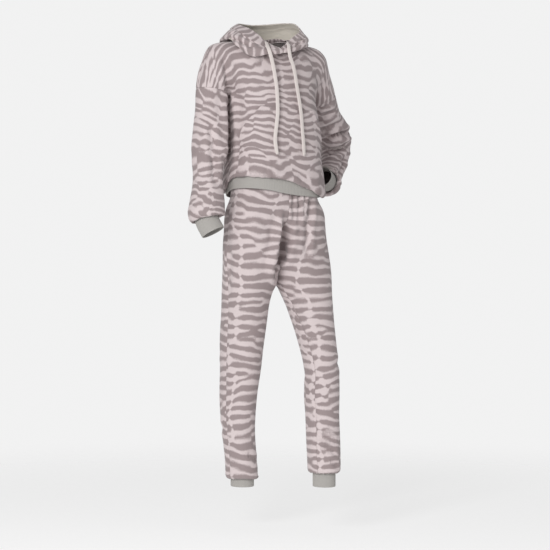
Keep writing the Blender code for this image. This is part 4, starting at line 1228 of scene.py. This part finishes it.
def make_hood(plush, lining):
    start = HOOD_SHARES[-2]
    shells = [outward_order(on_body(hood_grid(side, 0.0, start, HOOD_SECTIONS))) for side in (-1, 1)]
    right, left = (hood_grid(side, start, 1.0, CASING_COLUMNS) for side in (-1, 1))
    rim = outward_order(np.concatenate([right[::-1], left[1:]]), [0, 0, -0.2])
    extras = [(seam_dip(edge_distance(grid, False)), np.ones(grid.shape[:2])) for grid in shells]
    extras.append((seam_dip(edge_distance(rim, False)) * 0.5, np.full(rim.shape[:2], 0.35)))
    made, normals = make_panels(("hood_right", "hood_left", "hood_casing"), shells + [rim], [False] * 3,
                                HOOD_FOLDS, SWELL * 0.8, HOOD_SEED, extras, [plush, lining])
    for label, shell, away in zip(SIDES, made, normals):
        inner, outer = int(HOOD_SECTIONS * LINING_FROM), int(HOOD_SECTIONS * LINING_TO)
        if shell[0, -1, 2] < shell[0, 0, 2]:
            inner, outer = HOOD_SECTIONS - outer, HOOD_SECTIONS - inner
        shell, away = shell[:, inner:outer], away[:, inner:outer]
        facing = shell - away * (PLUSH + LINING_GAP * 0.5)
        make_cloth("hood_lining_" + label, "lining", facing, facing, LINING, False,
                   [lining, lining], away)


def make_joggers(plush, reverse, rib):
    parts = [(label, side, facing) for facing in (-1, 1) for label, side in SIDES.items()]
    grids = [outward_order(leg_panel(side, facing)) for _, side, facing in parts]
    extras = []
    for grid, (_, side, _) in zip(grids, parts):
        turn = turn_of(grid, ANKLES[side]["mid_x"], ANKLES[side]["mid_y"])
        waist = gathers(turn_of(grid, HIPS["mid_x"][0]), column_run(grid), *WAIST_GATHERS)
        dips = seam_dip(edge_distance(grid, False))
        extras.append(loosened(dips, turn, column_run(grid, True), ANKLE_GATHERS, FREE_AT_ANKLE, waist))
    names = ["jogger_" + ("front_" if facing < 0 else "back_") + label for label, _, facing in parts]
    make_panels(names, grids, [False] * 4, JOGGER_FOLDS, SWELL, JOGGER_SEED, extras,
                [plush, reverse])
    turn = np.linspace(0, 360, 4 * LEG_COLUMNS, endpoint=False)
    rings = [section_point(turn, drop, *sizes_at(HIPS, drop), square=HIP_SQUARENESS)
             for drop in np.linspace(WAIST_TOP, WAIST_SEAM, RIB_ROWS)]
    make_rib("waistband", np.stack(rings), WAIST_RIBS, rib)
    for label, side in SIDES.items():
        *sizes, top, _ = ANKLES[side].values()
        drops = np.linspace(top, top + ANKLE_CUFF_LENGTH, RIB_ROWS)
        rings = [section_point(turn[::2], drop, *sizes) for drop in drops]
        make_rib("ankle_cuff_" + label, np.stack(rings), ANKLE_RIBS, rib)


# ---- Room ----


def make_room():
    """A pale backdrop, a broad lamp in front, a weaker one at the side, and a pale floor that fades out."""
    world = bpy.data.worlds.new("room")
    world.use_nodes = True
    bpy.context.scene.world = world
    tree = world.node_tree
    backdrop = wired(tree, tree.nodes["Background"], Color=(BACKDROP, BACKDROP, BACKDROP, 1))
    ambient = wired(tree, node(tree, "Background"), Color=(1, 1, 1, 1), Strength=AMBIENT)
    blend_shaders(tree, node(tree, "LightPath").outputs["Is Camera Ray"], ambient.outputs[0],
                  backdrop.outputs[0], "World Output")
    for name, azimuth, lift, away, size, power in LAMPS:
        data = bpy.data.lights.new(name, "AREA")
        data.size = size
        data.energy = power
        tilt = math.radians(lift)
        stand(placed(name, data), azimuth, away * math.cos(tilt), EYE_HEIGHT + away * math.sin(tilt), tilt)
    mesh = bpy.data.meshes.new("floor")
    corners = [(-1, -1), (1, -1), (1, 1), (-1, 1)]
    mesh.from_pydata([(FLOOR_HALF * x, FLOOR_HALF * y, FLOOR) for x, y in corners], [], [(0, 1, 2, 3)])
    floor = placed("floor", mesh)
    material, tree, shader = finish("floor", 0.8, 0.0)
    wired(tree, shader, Base_Color=(FLOOR_SHADE, FLOOR_SHADE, FLOOR_SHADE, 1), Emission_Strength=FLOOR_GLOW,
          Emission_Color=(1, 1, 1, 1))
    away = wired(tree, node(tree, "VectorMath", operation="LENGTH"),
                 _0=node(tree, "TexCoord").outputs["Object"]).outputs["Value"]
    blend_shaders(tree, ramp(tree, away, *FLOOR_FADE), shader.outputs[0],
                  node(tree, "BsdfTransparent").outputs[0], "Material Output")
    mesh.materials.append(material)
    bpy.context.scene.view_settings.view_transform = "Standard"


def main():
    make_camera()
    braid = plain_finish("cord_braid", CORD_COLOUR, 700.0, 0.0006, 0.1)
    make_cord("drawcord_right", CORD_RIGHT_ROUTE, braid)
    make_cord("drawcord_left", CORD_LEFT_ROUTE, braid)
    plush = zebra_finish("plush_swirls", *SWIRLS)
    bars = zebra_finish("plush_bars", *BARS)
    reverse = plain_finish("plush_reverse", REVERSE_COLOUR, 600.0, 0.0006, 0.2)
    rib = plain_finish("rib_knit", RIB_COLOUR, 900.0, 0.0004, 0.1)
    lining = plain_finish("lining_knit", LINING_COLOUR, 700.0, 0.0004, 0.1)
    make_hoodie_body(plush, reverse, rib)
    make_hem_band(rib)
    make_hood(plush, lining)
    make_joggers(bars, reverse, rib)
    make_room()
    bpy.context.view_layer.update()


main()
